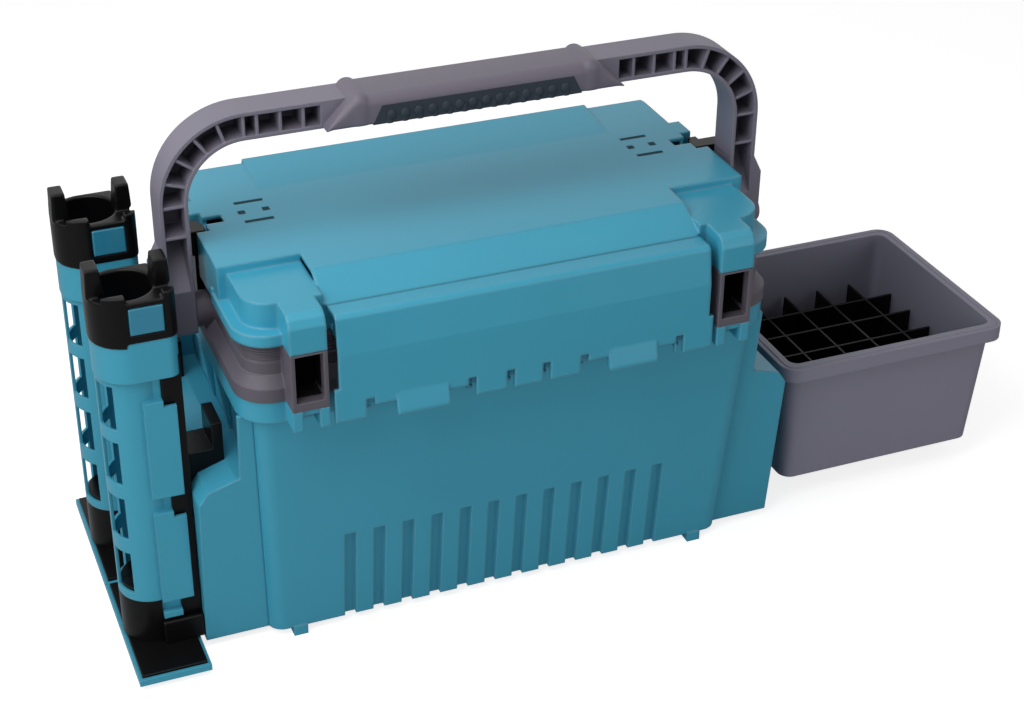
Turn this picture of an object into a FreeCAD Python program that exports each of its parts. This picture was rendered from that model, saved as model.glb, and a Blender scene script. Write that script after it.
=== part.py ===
import FreeCAD, Part
import math
import os

# Fishing seat box with a swinging carry handle, two rod stands and a hanging side tray.
# Millimetres. X runs along the box, Y from front (-) to back (+), Z up.
# The origin is on the floor under the middle of the box.

# Overall box: half its length and depth over the rim, and the rim's height, drive the rest
RIM_HALF = 234.0
RIM_DEEP = 130.0
RIM_BOTTOM_Z = 242.0
RIM_TALL = 20.0
RIM_TOP_Z = RIM_BOTTOM_Z + RIM_TALL
RIM_CORNER_R = 30.0
RIM_SKIRT = 3.0
RIM_WEB = 4.0
WALL = 3.5
FLOOR_Z = 8.0
FLOOR_THICK = 4.0
TUB_HALF_TOP = RIM_HALF - 11.0
TUB_HALF_BOTTOM = TUB_HALF_TOP - 8.0
TUB_FRONT_TOP = RIM_DEEP - 9.0
TUB_FRONT_BOTTOM = TUB_FRONT_TOP - 25.0
TUB_REAR_TOP = RIM_DEEP - 9.0
TUB_REAR_BOTTOM = TUB_REAR_TOP - 15.0
TUB_CORNER_R = 14.0

# Grooves, feet and side boxes of the tub
GROOVE_COUNT = 12
GROOVE_PITCH = 26.13
GROOVE_WIDE = 10.2
GROOVE_TOP_Z = 101.6
GROOVE_DEEP = 4.5
GROOVE_BACKING = 3.5
FOOT_MID_X = TUB_HALF_BOTTOM - 25.7
FOOT_WIDE = 12.5
FOOT_LONG = 14.0
FOOT_FRONT_Y = -TUB_FRONT_BOTTOM - 2.0
FOOT_REAR_Y = TUB_REAR_BOTTOM - 12.0
FOOT_MIDDLE_R = 12.0
SIDE_TOP_HALF = RIM_HALF + 2.0
SIDE_HALF = RIM_HALF + 36.0
SIDE_SHOULDER_Z = RIM_BOTTOM_Z - 84.0
SIDE_CHAMFER = 8.0
SIDE_CHAMFER_Z = SIDE_SHOULDER_Z + 12.0
SIDE_TOP_Z = SIDE_SHOULDER_Z + 20.0
SIDE_STEP = 10.0
SIDE_WALL = 3.0
GUSSET_THICK = 4.0
GUSSET_YS = (-26.0, 30.0)

# Corner brackets and front loops
LOOP_INNER_X = RIM_HALF - 64.5
LOOP_OUTER_X = LOOP_INNER_X + 30.0
LOOP_FRONT_Y = -RIM_DEEP - 20.0
LOOP_WALL = 3.5
LOOP_SILL_Z = RIM_TOP_Z + 6.5
LOOP_TOP_BAR = 1.5
BRACKET_LEG_BOTTOM_Z = RIM_BOTTOM_Z + 1.0
BRACKET_LEG_WIDE = 8.0
CATCH_XS = (-135.8, -49.7, -16.4, 15.1, 48.6, 135.1)
CATCH_WIDE = 3.6
CATCH_OUT = 12.0

# Grey frame between tub and lid
FRAME_TOP_Z = RIM_TOP_Z + 50.0
LEDGE_HALF = RIM_HALF + 1.0
LEDGE_DEEP = RIM_DEEP + 1.0
LEDGE_FACE_Z = RIM_TOP_Z + 12.0
LEDGE_TOP_Z = LEDGE_FACE_Z + 9.0
LEDGE_SLOPE = 7.0
BAND_HALF = RIM_HALF - 8.0
BAND_DEEP = RIM_DEEP - 8.5
BAND_STEP_Z = LEDGE_TOP_Z + 11.0
BAND_STEP = 1.6
FRAME_OPEN_HALF = TUB_HALF_TOP - WALL
FRAME_OPEN_DEEP = RIM_DEEP - 13.5
SEAT_GAP = 0.3

# Lid
LID_TOP_Z = FRAME_TOP_Z + 40.0
LID_HALF = RIM_HALF - 2.0
LID_REAR_HALF = LID_HALF - 10.0
LID_REAR_R = 22.0
LID_STEP_Y = 60.0
LID_DEEP = RIM_DEEP + 1.0
LID_REAR_TOP_Y = LID_DEEP - 14.0
LID_REAR_MID_Y = LID_DEEP - 4.0
LID_REAR_MID_Z = LID_TOP_Z - 7.0
LID_WALL = 3.5
LID_CORNER_R = 24.0
LID_SKIN = 3.5
PANEL_HALF = LOOP_INNER_X - 6.5
PANEL_START_Y = 61.0
PANEL_RISE = 4.0
SLOPE_BACK_Y = -RIM_DEEP + 39.0
SLOPE_FRONT_Y = -RIM_DEEP + 7.0
SLOPE_FRONT_Z = LID_TOP_Z - 16.4
LID_FRONT_Y = -RIM_DEEP + 9.7
BLOCK_BACK_Y = -RIM_DEEP + 68.0
BLOCK_TOP_Z = LID_TOP_Z - 7.0
BLOCK_HALF = LID_HALF - 8.0
POST_EDGE_R = 10.0
FLANGE_HALF = RIM_HALF
FLANGE_THICK = 10.0
FLANGE_BACK_Y = -45.0
FLANGE_KNOB_R = 4.0
FLANGE_KNOB = 13.0
REAR_LEDGE = 6.0
LID_RIB = 3.0
LID_RIB_DEEP = 14.0
LID_RIB_XS = (-110.0, -55.0, 0.0, 55.0, 110.0)
LID_RIB_YS = (-50.0, 10.0, 70.0)
SLOT_MID_X = RIM_HALF - 56.3
SLOT_LONG = 24.5
SLOT_WIDE = 3.0
SLOT_YS = (6.8, 42.5)
SQUARE_Y = 24.7
SQUARE_SIZE = 5.0
SQUARE_SPREAD = 10.4
MARK_DEEP = 2.6
NOTCH_FRONT_Y = 2.0
NOTCH_BACK_Y = 36.0
NOTCH_INNER_X = RIM_HALF - 13.0
NOTCH_SLOT_X = NOTCH_INNER_X - 15.5
NOTCH_SLOT_YS = (14.0, 27.0)
NOTCH_SLOT_DEEP = 6.0

# Rear hinge
HINGE_Y = RIM_DEEP + 7.0
HINGE_Z = FRAME_TOP_Z + 6.0
HINGE_R = 5.6
HINGE_PIN_R = 2.5
HINGE_MID_X = 130.0
LID_KNUCKLE = 35.2
FRAME_KNUCKLE = 12.0
KNUCKLE_GAP = 0.4
RUN_FIT = 0.05

# Front flap
FLAP_AXIS_Y = -RIM_DEEP - 1.5
FLAP_AXIS_Z = FRAME_TOP_Z + 16.5
FLAP_TOP_Z = FLAP_AXIS_Z + 8.5
FLAP_BACK_Y = -RIM_DEEP + 5.0
FLAP_RIDGE_Y = -RIM_DEEP - 12.0
FLAP_FOLD_Z = FRAME_TOP_Z - 8.0
FLAP_STEP_Z = RIM_TOP_Z + 12.0
FLAP_LOW_Z = RIM_BOTTOM_Z + 2.0
FLAP_HIGH_Z = FLAP_LOW_Z + 10.5
FLAP_THICK = 3.5
FLAP_HALF_TOP = LOOP_INNER_X - 8.5
FLAP_HALF_LOW = LOOP_INNER_X - 4.5
FLAP_BARREL_R = 4.2
FLAP_PIN_R = 2.0
FLAP_BARREL_HALF = 20.0
FLAP_BARREL_XS = (-130.0, 0.0, 130.0)
LID_ARM = 8.0
ARM_DEEP = 5.6
ARM_FOOT = 4.5
FLAP_RAISED_SPANS = ((-132.6, -53.2), (52.0, 131.0))
TAB_SPANS = ((-114.3, -70.3), (70.3, 113.7))
TAB_TOP_Z = RIM_TOP_Z
TAB_LOW_Z = RIM_BOTTOM_Z + 0.5
TAB_OUT = 4.0
CATCH_NOTCH_WIDE = 7.0
CATCH_NOTCH_TOP_Z = RIM_TOP_Z - 1.0

# Handle: its legs end at the flare's upper end, and each leg's foot is a piece of its own
PIVOT_Z = RIM_TOP_Z + 26.0
HANDLE_HALF = RIM_HALF + 31.5
HANDLE_TOP_Z = LID_TOP_Z + 110.0
HANDLE_BAND = 23.5
HANDLE_BEND_R = 72.5
HANDLE_FRONT_Y = -23.0
HANDLE_BACK_Y = 8.0
HANDLE_FLANGE = 3.2
HANDLE_WEB = 4.0
HANDLE_RIB = 2.4
HANDLE_RIB_PITCH = 19.0
HANDLE_LEG_RIB_PITCH = 27.0
HANDLE_RIB_X_IN = 144.0
PIVOT_Y = -8.0
PIVOT_FOOT_R = 20.0
PIVOT_PIN_R = 7.0
PIVOT_HEAD_R = 11.0
PIVOT_HEAD = 4.0
PIVOT_BOSS_R = 15.0
FLARE_OUTER_X = HANDLE_HALF + 8.0
FLARE_TOP_Z = PIVOT_Z + 44.0
FLARE_BLEND_Z = PIVOT_Z + 60.0
POCKET_LOW_Z = PIVOT_Z + 24.0
GRIP_TOP_HALF = 106.0
GRIP_LOW_HALF = 130.0
GRIP_COLLAR = 11.0
GRIP_FRONT_Y = HANDLE_FRONT_Y - 13.0
GRIP_BACK_Y = HANDLE_BACK_Y + 3.0
GRIP_TOP_Z = HANDLE_TOP_Z + 3.0
GRIP_LOW_Z = HANDLE_TOP_Z - 21.5
INSERT_TOP_HALF = GRIP_TOP_HALF - 23.0
INSERT_LOW_HALF = INSERT_TOP_HALF + 8.3
INSERT_TOP_Z = GRIP_TOP_Z - 8.5
INSERT_DEEP = 6.0
INSERT_PROUD = 0.4
BUMP_COUNT = 13
BUMP_R = 3.6
BUMP_PROUD = 1.2
BUMP_TALL = 7.0

# Handle stoppers
STOP_GAP = 0.3
STOP_BACK_Y = HANDLE_BACK_Y + 21.0
STOP_INNER_X = RIM_HALF - 10.5
STOP_FOOT_OUTER_X = RIM_HALF - 0.5
STOP_OUTER_X = RIM_HALF + 16.0
STOP_ARM_Z = PIVOT_Z + 40.0
STOP_TOP_Z = LID_TOP_Z - 2.0

# Rod stands, front one first, second one a pitch behind it
STAND_PITCH = 140.0
STAND_MID_Y = -53.0
SLIDE_GAP = 0.4
RAIL_INNER_X = -SIDE_HALF - SLIDE_GAP
RAIL_OUTER_X = RAIL_INNER_X - 16.6
TUBE_X = RAIL_INNER_X - 36.1
TUBE_R = 28.0
TUBE_WALL = 2.6
TUBE_LOW_Z = 58.0
RING_LOW_Z = 275.0
RING_TOP_Z = RING_LOW_Z + 36.0
SHOE_BOTTOM_Z = 6.0
SHOE_TOP_Z = SHOE_BOTTOM_Z + 6.0
SHOE_LONG = 139.4
SHOE_OUTER_X = RAIL_INNER_X - 65.6
SHOE_INNER_X = RAIL_INNER_X - 4.1
SHOE_LIP = 3.0
PLATE_TOP_Z = SHOE_TOP_Z + 2.5
RAIL_FRONT = 27.0
RAIL_BACK = 25.0
RAIL_SLIM_BACK = -12.0
RAIL_SLIM_Z = 262.0
RAIL_TOP_Z = 292.0
TONGUE_OUT = 5.0
TONGUE_WIDE = 14.0
TONGUE_LOW_Z = 70.0
TONGUE_TOP_Z = 268.0
BLOCK_LEFT_X = RAIL_OUTER_X - 16.5
BLOCK_FRONT = 25.0
BLOCK_REAR = 20.0
BLOCK_BOTTOM_Z = 40.0
COVER_SPANS = ((57.0, 141.0), (162.0, 248.0))
COVER_RIGHT_X = RAIL_INNER_X - 6.6
COVER_THICK = 4.0
EAR_ZS = (40.0, 141.0, 248.0)
EAR_TALL = 6.0
WINDOW_ZS = (86.0, 141.0, 195.5, 248.5)
WINDOW_TALL = 41.0
WINDOW_START_DEG = 186.0
WINDOW_END_DEG = 229.0
CAP_PLUG = 10.0
COLLAR_TOP_Z = RING_TOP_Z + 36.0
COLLAR_LEFT_X = TUBE_X - 30.0
COLLAR_RIGHT_X = -HANDLE_HALF - 4.0
COLLAR_FRONT = 33.0
COLLAR_BACK = 30.5
COLLAR_ROUND_R = 30.0
RING_INSET = 1.0
COLLAR_CUT_X = TUBE_X + 27.5
COLLAR_CUT_Y = 1.0
COLLAR_CUT_FRONT_Y = -18.0
COLLAR_STEP = 4.5
COLLAR_STEP_X = TUBE_X - 4.5
PRONG_TOP_Z = COLLAR_TOP_Z + 24.0
PRONG_CLEAR_Z = COLLAR_TOP_Z + 2.0
PRONG_FRONT = 14.0
PRONG_BACK = 5.0
PRONG_OUT = 15.0
PRONG_TAPER = 2.5
BUMP_TOP_Z = COLLAR_TOP_Z + 5.0
BUMP_DEEP = 9.0
BUTTON_MID_X = TUBE_X + 12.0
BUTTON_WIDE = 27.0
BUTTON_LOW_Z = RING_TOP_Z + 8.0
BUTTON_TOP_Z = BUTTON_LOW_Z + 23.0
BUTTON_GAP = 0.4
BUTTON_TRAVEL = 3.0
BUTTON_LIP = 2.0
BUTTON_PROUD = 0.5
BUTTON_LONG = 8.0
BUTTON_STEM = 6.0
HOOK_TOP_Z = SIDE_TOP_Z + 12.0
HOOK_SEAT_GAP = 0.4
HOOK_INNER_X = -SIDE_TOP_HALF - 3.0
HOOK_POST = 9.0
HOOK_TALL = 24.0
HOOK_HALF_WIDE = 17.0

# Side tray and its hanger
HANG_GAP = 0.4
TRAY_LEFT_X = SIDE_HALF + 9.0
TRAY_LONG = 236.0
TRAY_FRONT_Y = -90.0
TRAY_DEEP = 218.0
TRAY_TOP_Z = 158.0
TRAY_BOTTOM_Z = 28.0
TRAY_LIP = 14.0
TRAY_LIP_OUT = 8.0
TRAY_WALL = 3.0
TRAY_TAPER = 7.0
TRAY_CORNER_R = 12.0
TONGUE_THICK = 7.6
TONGUE_DROP_Z = 100.4
TRAY_TONGUE_WIDE = 34.0
TRAY_TONGUE_YS = (-16.0, 54.0)
HANGER_FACE_X = SIDE_HALF + HANG_GAP
HANGER_BACK = 3.6
HANGER_LOW_Z = 94.0
HANGER_TOP_Z = 138.0
HANGER_LIP = 3.0
HANGER_LIP_TOP_Z = 124.0
SLAT_COUNT = 5
SLAT_THICK = 2.0
SLAT_TOP_Z = TRAY_TOP_Z - 48.0
SLAT_FIRST_X = TRAY_LEFT_X + 37.5
SLAT_PITCH_X = 37.3
SLAT_FIRST_Y = TRAY_FRONT_Y + 24.0
SLAT_PITCH_Y = 35.5
SLAT_END_GAP = 1.0
SLAT_FIT = 0.3


def box(x0, x1, y0, y1, z0, z1):
    """A plain block between two corners."""
    low = FreeCAD.Vector(min(x0, x1), min(y0, y1), min(z0, z1))
    return Part.makeBox(abs(x1 - x0), abs(y1 - y0), abs(z1 - z0), low)


def rounded_wire(x0, x1, y0, y1, radius, z):
    """A rectangle with rounded corners, drawn at height z."""
    edges = []
    corners = (
        (x1 - radius, y0 + radius, -90.0),
        (x1 - radius, y1 - radius, 0.0),
        (x0 + radius, y1 - radius, 90.0),
        (x0 + radius, y0 + radius, 180.0),
    )
    points = []
    for cx, cy, start in corners:
        arc = []
        for step in (0.0, 45.0, 90.0):
            angle = math.radians(start + step)
            arc.append(FreeCAD.Vector(cx + radius * math.cos(angle), cy + radius * math.sin(angle), z))
        points.append(arc)
    for index, arc in enumerate(points):
        edges.append(Part.Arc(*arc).toShape())
        edges.append(Part.LineSegment(arc[2], points[(index + 1) % 4][0]).toShape())
    return Part.Wire(Part.__sortEdges__(edges))


def rounded_block(x0, x1, y0, y1, radius, z0, z1):
    """A block with four rounded upright edges."""
    face = Part.Face(rounded_wire(x0, x1, y0, y1, radius, z0))
    return face.extrude(FreeCAD.Vector(0, 0, z1 - z0))


def rounded_taper(low, high):
    """A solid between two rounded rectangles given as (x0, x1, y0, y1, radius, z)."""
    return Part.makeLoft([rounded_wire(*low), rounded_wire(*high)], True, True)


def prism_yz(points, x0, x1):
    """A side profile of (y, z) points, carried along X."""
    vectors = [FreeCAD.Vector(x0, y, z) for y, z in points]
    face = Part.Face(Part.makePolygon(vectors + vectors[:1]))
    return face.extrude(FreeCAD.Vector(x1 - x0, 0, 0))


def prism_xz(points, y0, y1):
    """A front profile of (x, z) points, carried along Y."""
    vectors = [FreeCAD.Vector(x, y0, z) for x, z in points]
    face = Part.Face(Part.makePolygon(vectors + vectors[:1]))
    return face.extrude(FreeCAD.Vector(0, y1 - y0, 0))


def prism_xy(points, z0, z1):
    """A plan of (x, y) points, carried up along Z."""
    vectors = [FreeCAD.Vector(x, y, z0) for x, y in points]
    face = Part.Face(Part.makePolygon(vectors + vectors[:1]))
    return face.extrude(FreeCAD.Vector(0, 0, z1 - z0))


def rod_x(x0, x1, y, z, radius):
    """A round bar along X."""
    return Part.makeCylinder(radius, x1 - x0, FreeCAD.Vector(x0, y, z), FreeCAD.Vector(1, 0, 0))


def mirrored(shape):
    """The same shape on the other side of the box."""
    return shape.mirror(FreeCAD.Vector(0, 0, 0), FreeCAD.Vector(1, 0, 0))


def both_sides(shape):
    """A shape and its mirror image."""
    return [shape, mirrored(shape)]


def join(shapes):
    """One solid from several that touch or overlap."""
    return shapes[0].multiFuse(shapes[1:]).removeSplitter()


def cut(shape, tools):
    """A shape less a list of tools."""
    return shape.cut(Part.makeCompound(tools)) if tools else shape


def save(name, shape):
    """Write one named piece."""
    shape.exportStep("parts/" + name + ".step")


def along(low, high, z):
    """A size that changes evenly from the tub's bottom to the foot of its rim."""
    share = (z - FLOOR_Z) / (RIM_BOTTOM_Z - FLOOR_Z)
    return low + (high - low) * share


def tub_front(z):
    """Where the tub's front face stands at height z."""
    return -along(TUB_FRONT_BOTTOM, TUB_FRONT_TOP, z)


def tub_rear(z):
    """Where the tub's rear face stands at height z."""
    return along(TUB_REAR_BOTTOM, TUB_REAR_TOP, z)


def tub_half(z):
    """Half the tub's length at height z."""
    return along(TUB_HALF_BOTTOM, TUB_HALF_TOP, z)


def tub_section(z, inset):
    """The tub's plan at height z, drawn in by a wall."""
    half = tub_half(z) - inset
    return (-half, half, tub_front(z) + inset, tub_rear(z) - inset, TUB_CORNER_R - inset, z)


def side_box(inset, bottom_z):
    """The bulge on the right side of the tub, drawn in by a wall."""
    outline = (
        (TUB_HALF_BOTTOM - 8.0 + 2 * inset, bottom_z),
        (SIDE_HALF - inset, bottom_z),
        (SIDE_HALF - inset, SIDE_SHOULDER_Z - inset / 2),
        (SIDE_HALF - SIDE_CHAMFER - inset / 2, SIDE_CHAMFER_Z - inset),
        (SIDE_TOP_HALF + 2.0, SIDE_TOP_Z - inset),
        (TUB_HALF_BOTTOM - 8.0 + 2 * inset, SIDE_TOP_Z - inset),
    )
    reach = TUB_FRONT_TOP + TUB_REAR_TOP
    body = prism_xz(outline, -reach, reach)
    low, high = bottom_z, SIDE_TOP_Z
    step = SIDE_STEP + inset
    side = ((tub_front(low) + step, low), (tub_rear(low) - step, low),
            (tub_rear(high) - step, high), (tub_front(high) + step, high))
    return body.common(prism_yz(side, TUB_HALF_BOTTOM - 20.0, SIDE_HALF + 1.0))


def side_webs():
    """The upright webs above a side box: one at each end and two gussets between."""
    webs = []
    low, high = SIDE_TOP_Z - 4.0, RIM_BOTTOM_Z + 1.0
    inner = TUB_HALF_BOTTOM - 8.0
    for face, turn in ((tub_front, 1.0), (tub_rear, -1.0)):
        near_low = face(low) + turn * SIDE_STEP
        near_high = face(high) + turn * SIDE_STEP
        side = ((near_low, low), (near_high, high),
                (near_high + turn * GUSSET_THICK, high), (near_low + turn * GUSSET_THICK, low))
        webs.append(prism_yz(side, inner, SIDE_TOP_HALF - 1.0))
    for y in GUSSET_YS:
        outline = ((inner, low), (tub_half(low) + 2.0, low), (SIDE_TOP_HALF - 3.0, high), (inner, high))
        webs.append(prism_xz(outline, y - GUSSET_THICK / 2, y + GUSSET_THICK / 2))
    return webs


def groove_profile(front_inset, back_inset, top_z):
    """The side view of a groove, following the leaning front face."""
    low = FLOOR_Z - 1.0 if front_inset < 0 else FLOOR_Z
    return ((tub_front(low) + front_inset, low), (tub_front(low) + back_inset, low),
            (tub_front(top_z) + back_inset, top_z), (tub_front(top_z) + front_inset, top_z))


def tub_outside():
    """The tub's outer body without its rim."""
    outer = rounded_taper(tub_section(FLOOR_Z, 0.0), tub_section(RIM_BOTTOM_Z, 0.0))
    neck = tub_section(RIM_BOTTOM_Z, 0.0)
    return outer.fuse(rounded_block(*neck[:5], RIM_BOTTOM_Z, RIM_TOP_Z))


def make_side_box():
    """The hollow bulge on the tub's right side, open below, with the webs above it."""
    boxes = side_box(0.0, FLOOR_Z)
    hollow = side_box(SIDE_WALL, FLOOR_Z - 1.0)
    whole = join([boxes.cut(hollow)] + side_webs())
    rim_zone = box(TUB_HALF_BOTTOM - 20.0, SIDE_HALF, -RIM_DEEP, RIM_DEEP, RIM_BOTTOM_Z, RIM_TOP_Z)
    return whole.cut(Part.makeCompound([rim_zone])).cut(tub_outside())


def make_tub():
    """The moulded tub with its rim, grooves, feet and corner brackets."""
    outer = tub_outside()
    rim = rounded_block(-RIM_HALF, RIM_HALF, -RIM_DEEP, RIM_DEEP, RIM_CORNER_R, RIM_BOTTOM_Z, RIM_TOP_Z)
    skirt = RIM_SKIRT
    under = rounded_block(-RIM_HALF + skirt, RIM_HALF - skirt, -RIM_DEEP + skirt, RIM_DEEP - skirt,
                          RIM_CORNER_R - skirt, RIM_BOTTOM_Z - 1.0, RIM_TOP_Z - RIM_WEB)
    pieces = [outer, rim.cut(under)]
    groove_mid = (GROOVE_COUNT - 1) * GROOVE_PITCH / 2
    for foot_y in (FOOT_FRONT_Y, FOOT_REAR_Y):
        half = FOOT_WIDE / 2
        foot = box(FOOT_MID_X - half, FOOT_MID_X + half, foot_y, foot_y + FOOT_LONG, 0.0, FLOOR_Z + 2.0)
        pieces += both_sides(foot)
    pieces.append(Part.makeCylinder(FOOT_MIDDLE_R, FLOOR_Z + 2.0))
    back = -RIM_DEEP + RIM_SKIRT
    top = RIM_TOP_Z - 1.0
    for inner in (LOOP_INNER_X, LOOP_OUTER_X - BRACKET_LEG_WIDE):
        leg = box(inner, inner + BRACKET_LEG_WIDE, LOOP_FRONT_Y, back, BRACKET_LEG_BOTTOM_Z, top)
        pieces += both_sides(leg)
    bar = box(LOOP_INNER_X, LOOP_OUTER_X, LOOP_FRONT_Y + 2.0, back, top - 5.0, top)
    pieces += both_sides(bar)
    for x in CATCH_XS:
        half = CATCH_WIDE / 2
        pieces.append(box(x - half, x + half, -RIM_DEEP - CATCH_OUT, back, RIM_BOTTOM_Z + 4.0, top - 1.0))
    tub = join(pieces)
    inner_low = FLOOR_Z + FLOOR_THICK
    cavity = rounded_taper(tub_section(inner_low, WALL), tub_section(RIM_BOTTOM_Z, WALL))
    mouth = tub_section(RIM_BOTTOM_Z, WALL)
    cavity = cavity.fuse(rounded_block(*mouth[:5], RIM_BOTTOM_Z, RIM_TOP_Z + 1.0))
    backing = []
    grooves = []
    for index in range(GROOVE_COUNT):
        mid = index * GROOVE_PITCH - groove_mid
        half = GROOVE_WIDE / 2
        deep = GROOVE_DEEP + GROOVE_BACKING
        rib = groove_profile(0.5, deep, GROOVE_TOP_Z + GROOVE_BACKING)
        backing.append(prism_yz(rib, mid - half - GROOVE_BACKING, mid + half + GROOVE_BACKING))
        grooves.append(prism_yz(groove_profile(-2.0, GROOVE_DEEP, GROOVE_TOP_Z), mid - half, mid + half))
    cavity = cavity.cut(Part.makeCompound(backing))
    tub = tub.cut(cavity)
    return cut(tub, grooves)


def make_rim_frame():
    """The grey frame that carries the hinge, the handle and the two front loops."""
    low = RIM_TOP_Z
    ledge = rounded_block(-LEDGE_HALF, LEDGE_HALF, -LEDGE_DEEP, LEDGE_DEEP, RIM_CORNER_R, low, LEDGE_FACE_Z)
    slope_half = LEDGE_HALF - LEDGE_SLOPE
    slope_deep = LEDGE_DEEP - LEDGE_SLOPE
    slope = rounded_taper((-LEDGE_HALF, LEDGE_HALF, -LEDGE_DEEP, LEDGE_DEEP, RIM_CORNER_R, LEDGE_FACE_Z),
                          (-slope_half, slope_half, -slope_deep, slope_deep, RIM_CORNER_R - LEDGE_SLOPE,
                           LEDGE_TOP_Z))
    band = rounded_block(-BAND_HALF, BAND_HALF, -BAND_DEEP, BAND_DEEP, RIM_CORNER_R - 8.0, low, FRAME_TOP_Z)
    step_half = BAND_HALF + BAND_STEP
    step_deep = BAND_DEEP + BAND_STEP
    step = rounded_block(-step_half, step_half, -step_deep, step_deep, RIM_CORNER_R - 6.0, low, BAND_STEP_Z)
    pieces = [ledge, slope, band, step]
    loop_low = RIM_TOP_Z - 1.0 + SEAT_GAP
    loop = box(LOOP_INNER_X, LOOP_OUTER_X, LOOP_FRONT_Y, -RIM_DEEP - SEAT_GAP, loop_low, FRAME_TOP_Z)
    loop = loop.fuse(box(LOOP_INNER_X, LOOP_OUTER_X, -RIM_DEEP - 2.0, -FRAME_OPEN_DEEP, low, FRAME_TOP_Z))
    pieces += both_sides(loop)
    boss = rod_x(FRAME_OPEN_HALF, leg_inner_x() - KNUCKLE_GAP, PIVOT_Y, PIVOT_Z, PIVOT_BOSS_R)
    pieces += both_sides(boss)
    for side in (-1.0, 1.0):
        for lean in (-1.0, 1.0):
            mid = side * HINGE_MID_X + lean * (LID_KNUCKLE + FRAME_KNUCKLE + 2 * KNUCKLE_GAP) / 2
            pieces.append(frame_knuckle(mid))
    frame = join(pieces)
    tools = [rounded_block(-FRAME_OPEN_HALF, FRAME_OPEN_HALF, -FRAME_OPEN_DEEP, FRAME_OPEN_DEEP,
                           TUB_CORNER_R - WALL, low - 1.0, FRAME_TOP_Z + 1.0)]
    window = box(LOOP_INNER_X + LOOP_WALL, LOOP_OUTER_X - LOOP_WALL, LOOP_FRONT_Y - 1.0, -BAND_DEEP - 0.5,
                 LOOP_SILL_Z, FRAME_TOP_Z - LOOP_TOP_BAR)
    tools += both_sides(window)
    tools += both_sides(rod_x(FRAME_OPEN_HALF - 5.0, leg_inner_x() + 1.0, PIVOT_Y, PIVOT_Z, PIVOT_PIN_R))
    for side in (-1.0, 1.0):
        mid = side * HINGE_MID_X
        tools.append(rod_x(mid - LID_KNUCKLE, mid + LID_KNUCKLE, HINGE_Y, HINGE_Z, HINGE_PIN_R))
    return cut(frame, tools)


def frame_knuckle(mid):
    """One hinge eye that stands up from the back of the frame."""
    half = FRAME_KNUCKLE / 2
    eye = rod_x(mid - half, mid + half, HINGE_Y, HINGE_Z, HINGE_R)
    front = HINGE_Y - HINGE_R
    back = HINGE_Y + HINGE_R
    arm = ((BAND_DEEP - 2.0, FRAME_TOP_Z - 24.0), (back, FRAME_TOP_Z - 10.0), (back, HINGE_Z),
           (front, HINGE_Z), (front, FRAME_TOP_Z - SEAT_GAP), (BAND_DEEP - 2.0, FRAME_TOP_Z - SEAT_GAP))
    return eye.fuse(prism_yz(arm, mid - half, mid + half))


def make_hinge_pins():
    """The two rear hinge pins."""
    reach = LID_KNUCKLE / 2 + KNUCKLE_GAP + FRAME_KNUCKLE
    pins = []
    for side in (-1.0, 1.0):
        mid = side * HINGE_MID_X
        pins.append(rod_x(mid - reach, mid + reach, HINGE_Y, HINGE_Z, HINGE_PIN_R))
    return Part.makeCompound(pins)


def lid_profile(inset, bottom_z):
    """The side view of the lid's middle, drawn in by its skin."""
    top = LID_TOP_Z - inset
    return (
        (LID_DEEP - inset, bottom_z),
        (LID_DEEP - inset, LID_REAR_MID_Z - 10.0),
        (LID_REAR_MID_Y - inset, LID_REAR_MID_Z - inset / 2),
        (LID_REAR_TOP_Y - inset / 2, top),
        (SLOPE_BACK_Y + inset / 4, top),
        (LID_FRONT_Y + inset, SLOPE_FRONT_Z + 1.4 - inset),
        (LID_FRONT_Y + inset, bottom_z),
    )


def lid_shape(inset, bottom_z):
    """The lid's outer body, or its hollow when inset is the skin's thickness."""
    middle = prism_yz(lid_profile(inset, bottom_z), -PANEL_HALF, PANEL_HALF)
    back = list(lid_profile(inset, bottom_z)[:4])
    shelf = BLOCK_BACK_Y + inset
    back += [(shelf, LID_TOP_Z - inset), (shelf, bottom_z)]
    half = LID_HALF - inset
    wings = prism_yz(back, -half, half)
    rear_half = LID_REAR_HALF - inset
    top = LID_TOP_Z + 1.0
    plan = rounded_block(-rear_half, rear_half, -LID_DEEP, LID_DEEP - inset, LID_REAR_R - inset, bottom_z,
                         top)
    plan = plan.fuse(box(-half, half, -LID_DEEP, LID_STEP_Y - inset, bottom_z, top))
    wings = wings.common(plan)
    reach = BLOCK_HALF - inset
    block = rounded_block(-reach, reach, LID_FRONT_Y + inset, BLOCK_BACK_Y + 40.0, LID_CORNER_R - inset,
                          bottom_z, BLOCK_TOP_Z - inset)
    middle_zone = box(-PANEL_HALF - inset, PANEL_HALF + inset, -LID_DEEP - SLOT_LONG, BLOCK_BACK_Y,
                      bottom_z, LID_TOP_Z)
    return join([middle, wings, block.cut(middle_zone)])


def lid_posts(inset, bottom_z):
    """The post in front of each corner block, standing on the frame's loop."""
    low = bottom_z
    high = BLOCK_TOP_Z - inset
    front = LOOP_FRONT_Y + inset
    edge = POST_EDGE_R
    side = ((LID_FRONT_Y + 6.0, low), (front, low), (front, high - edge), (front + edge / 3, high - edge / 3),
            (front + edge, high), (LID_FRONT_Y + 6.0, high))
    return both_sides(prism_yz(side, LOOP_INNER_X + inset, LOOP_OUTER_X - inset))


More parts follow.
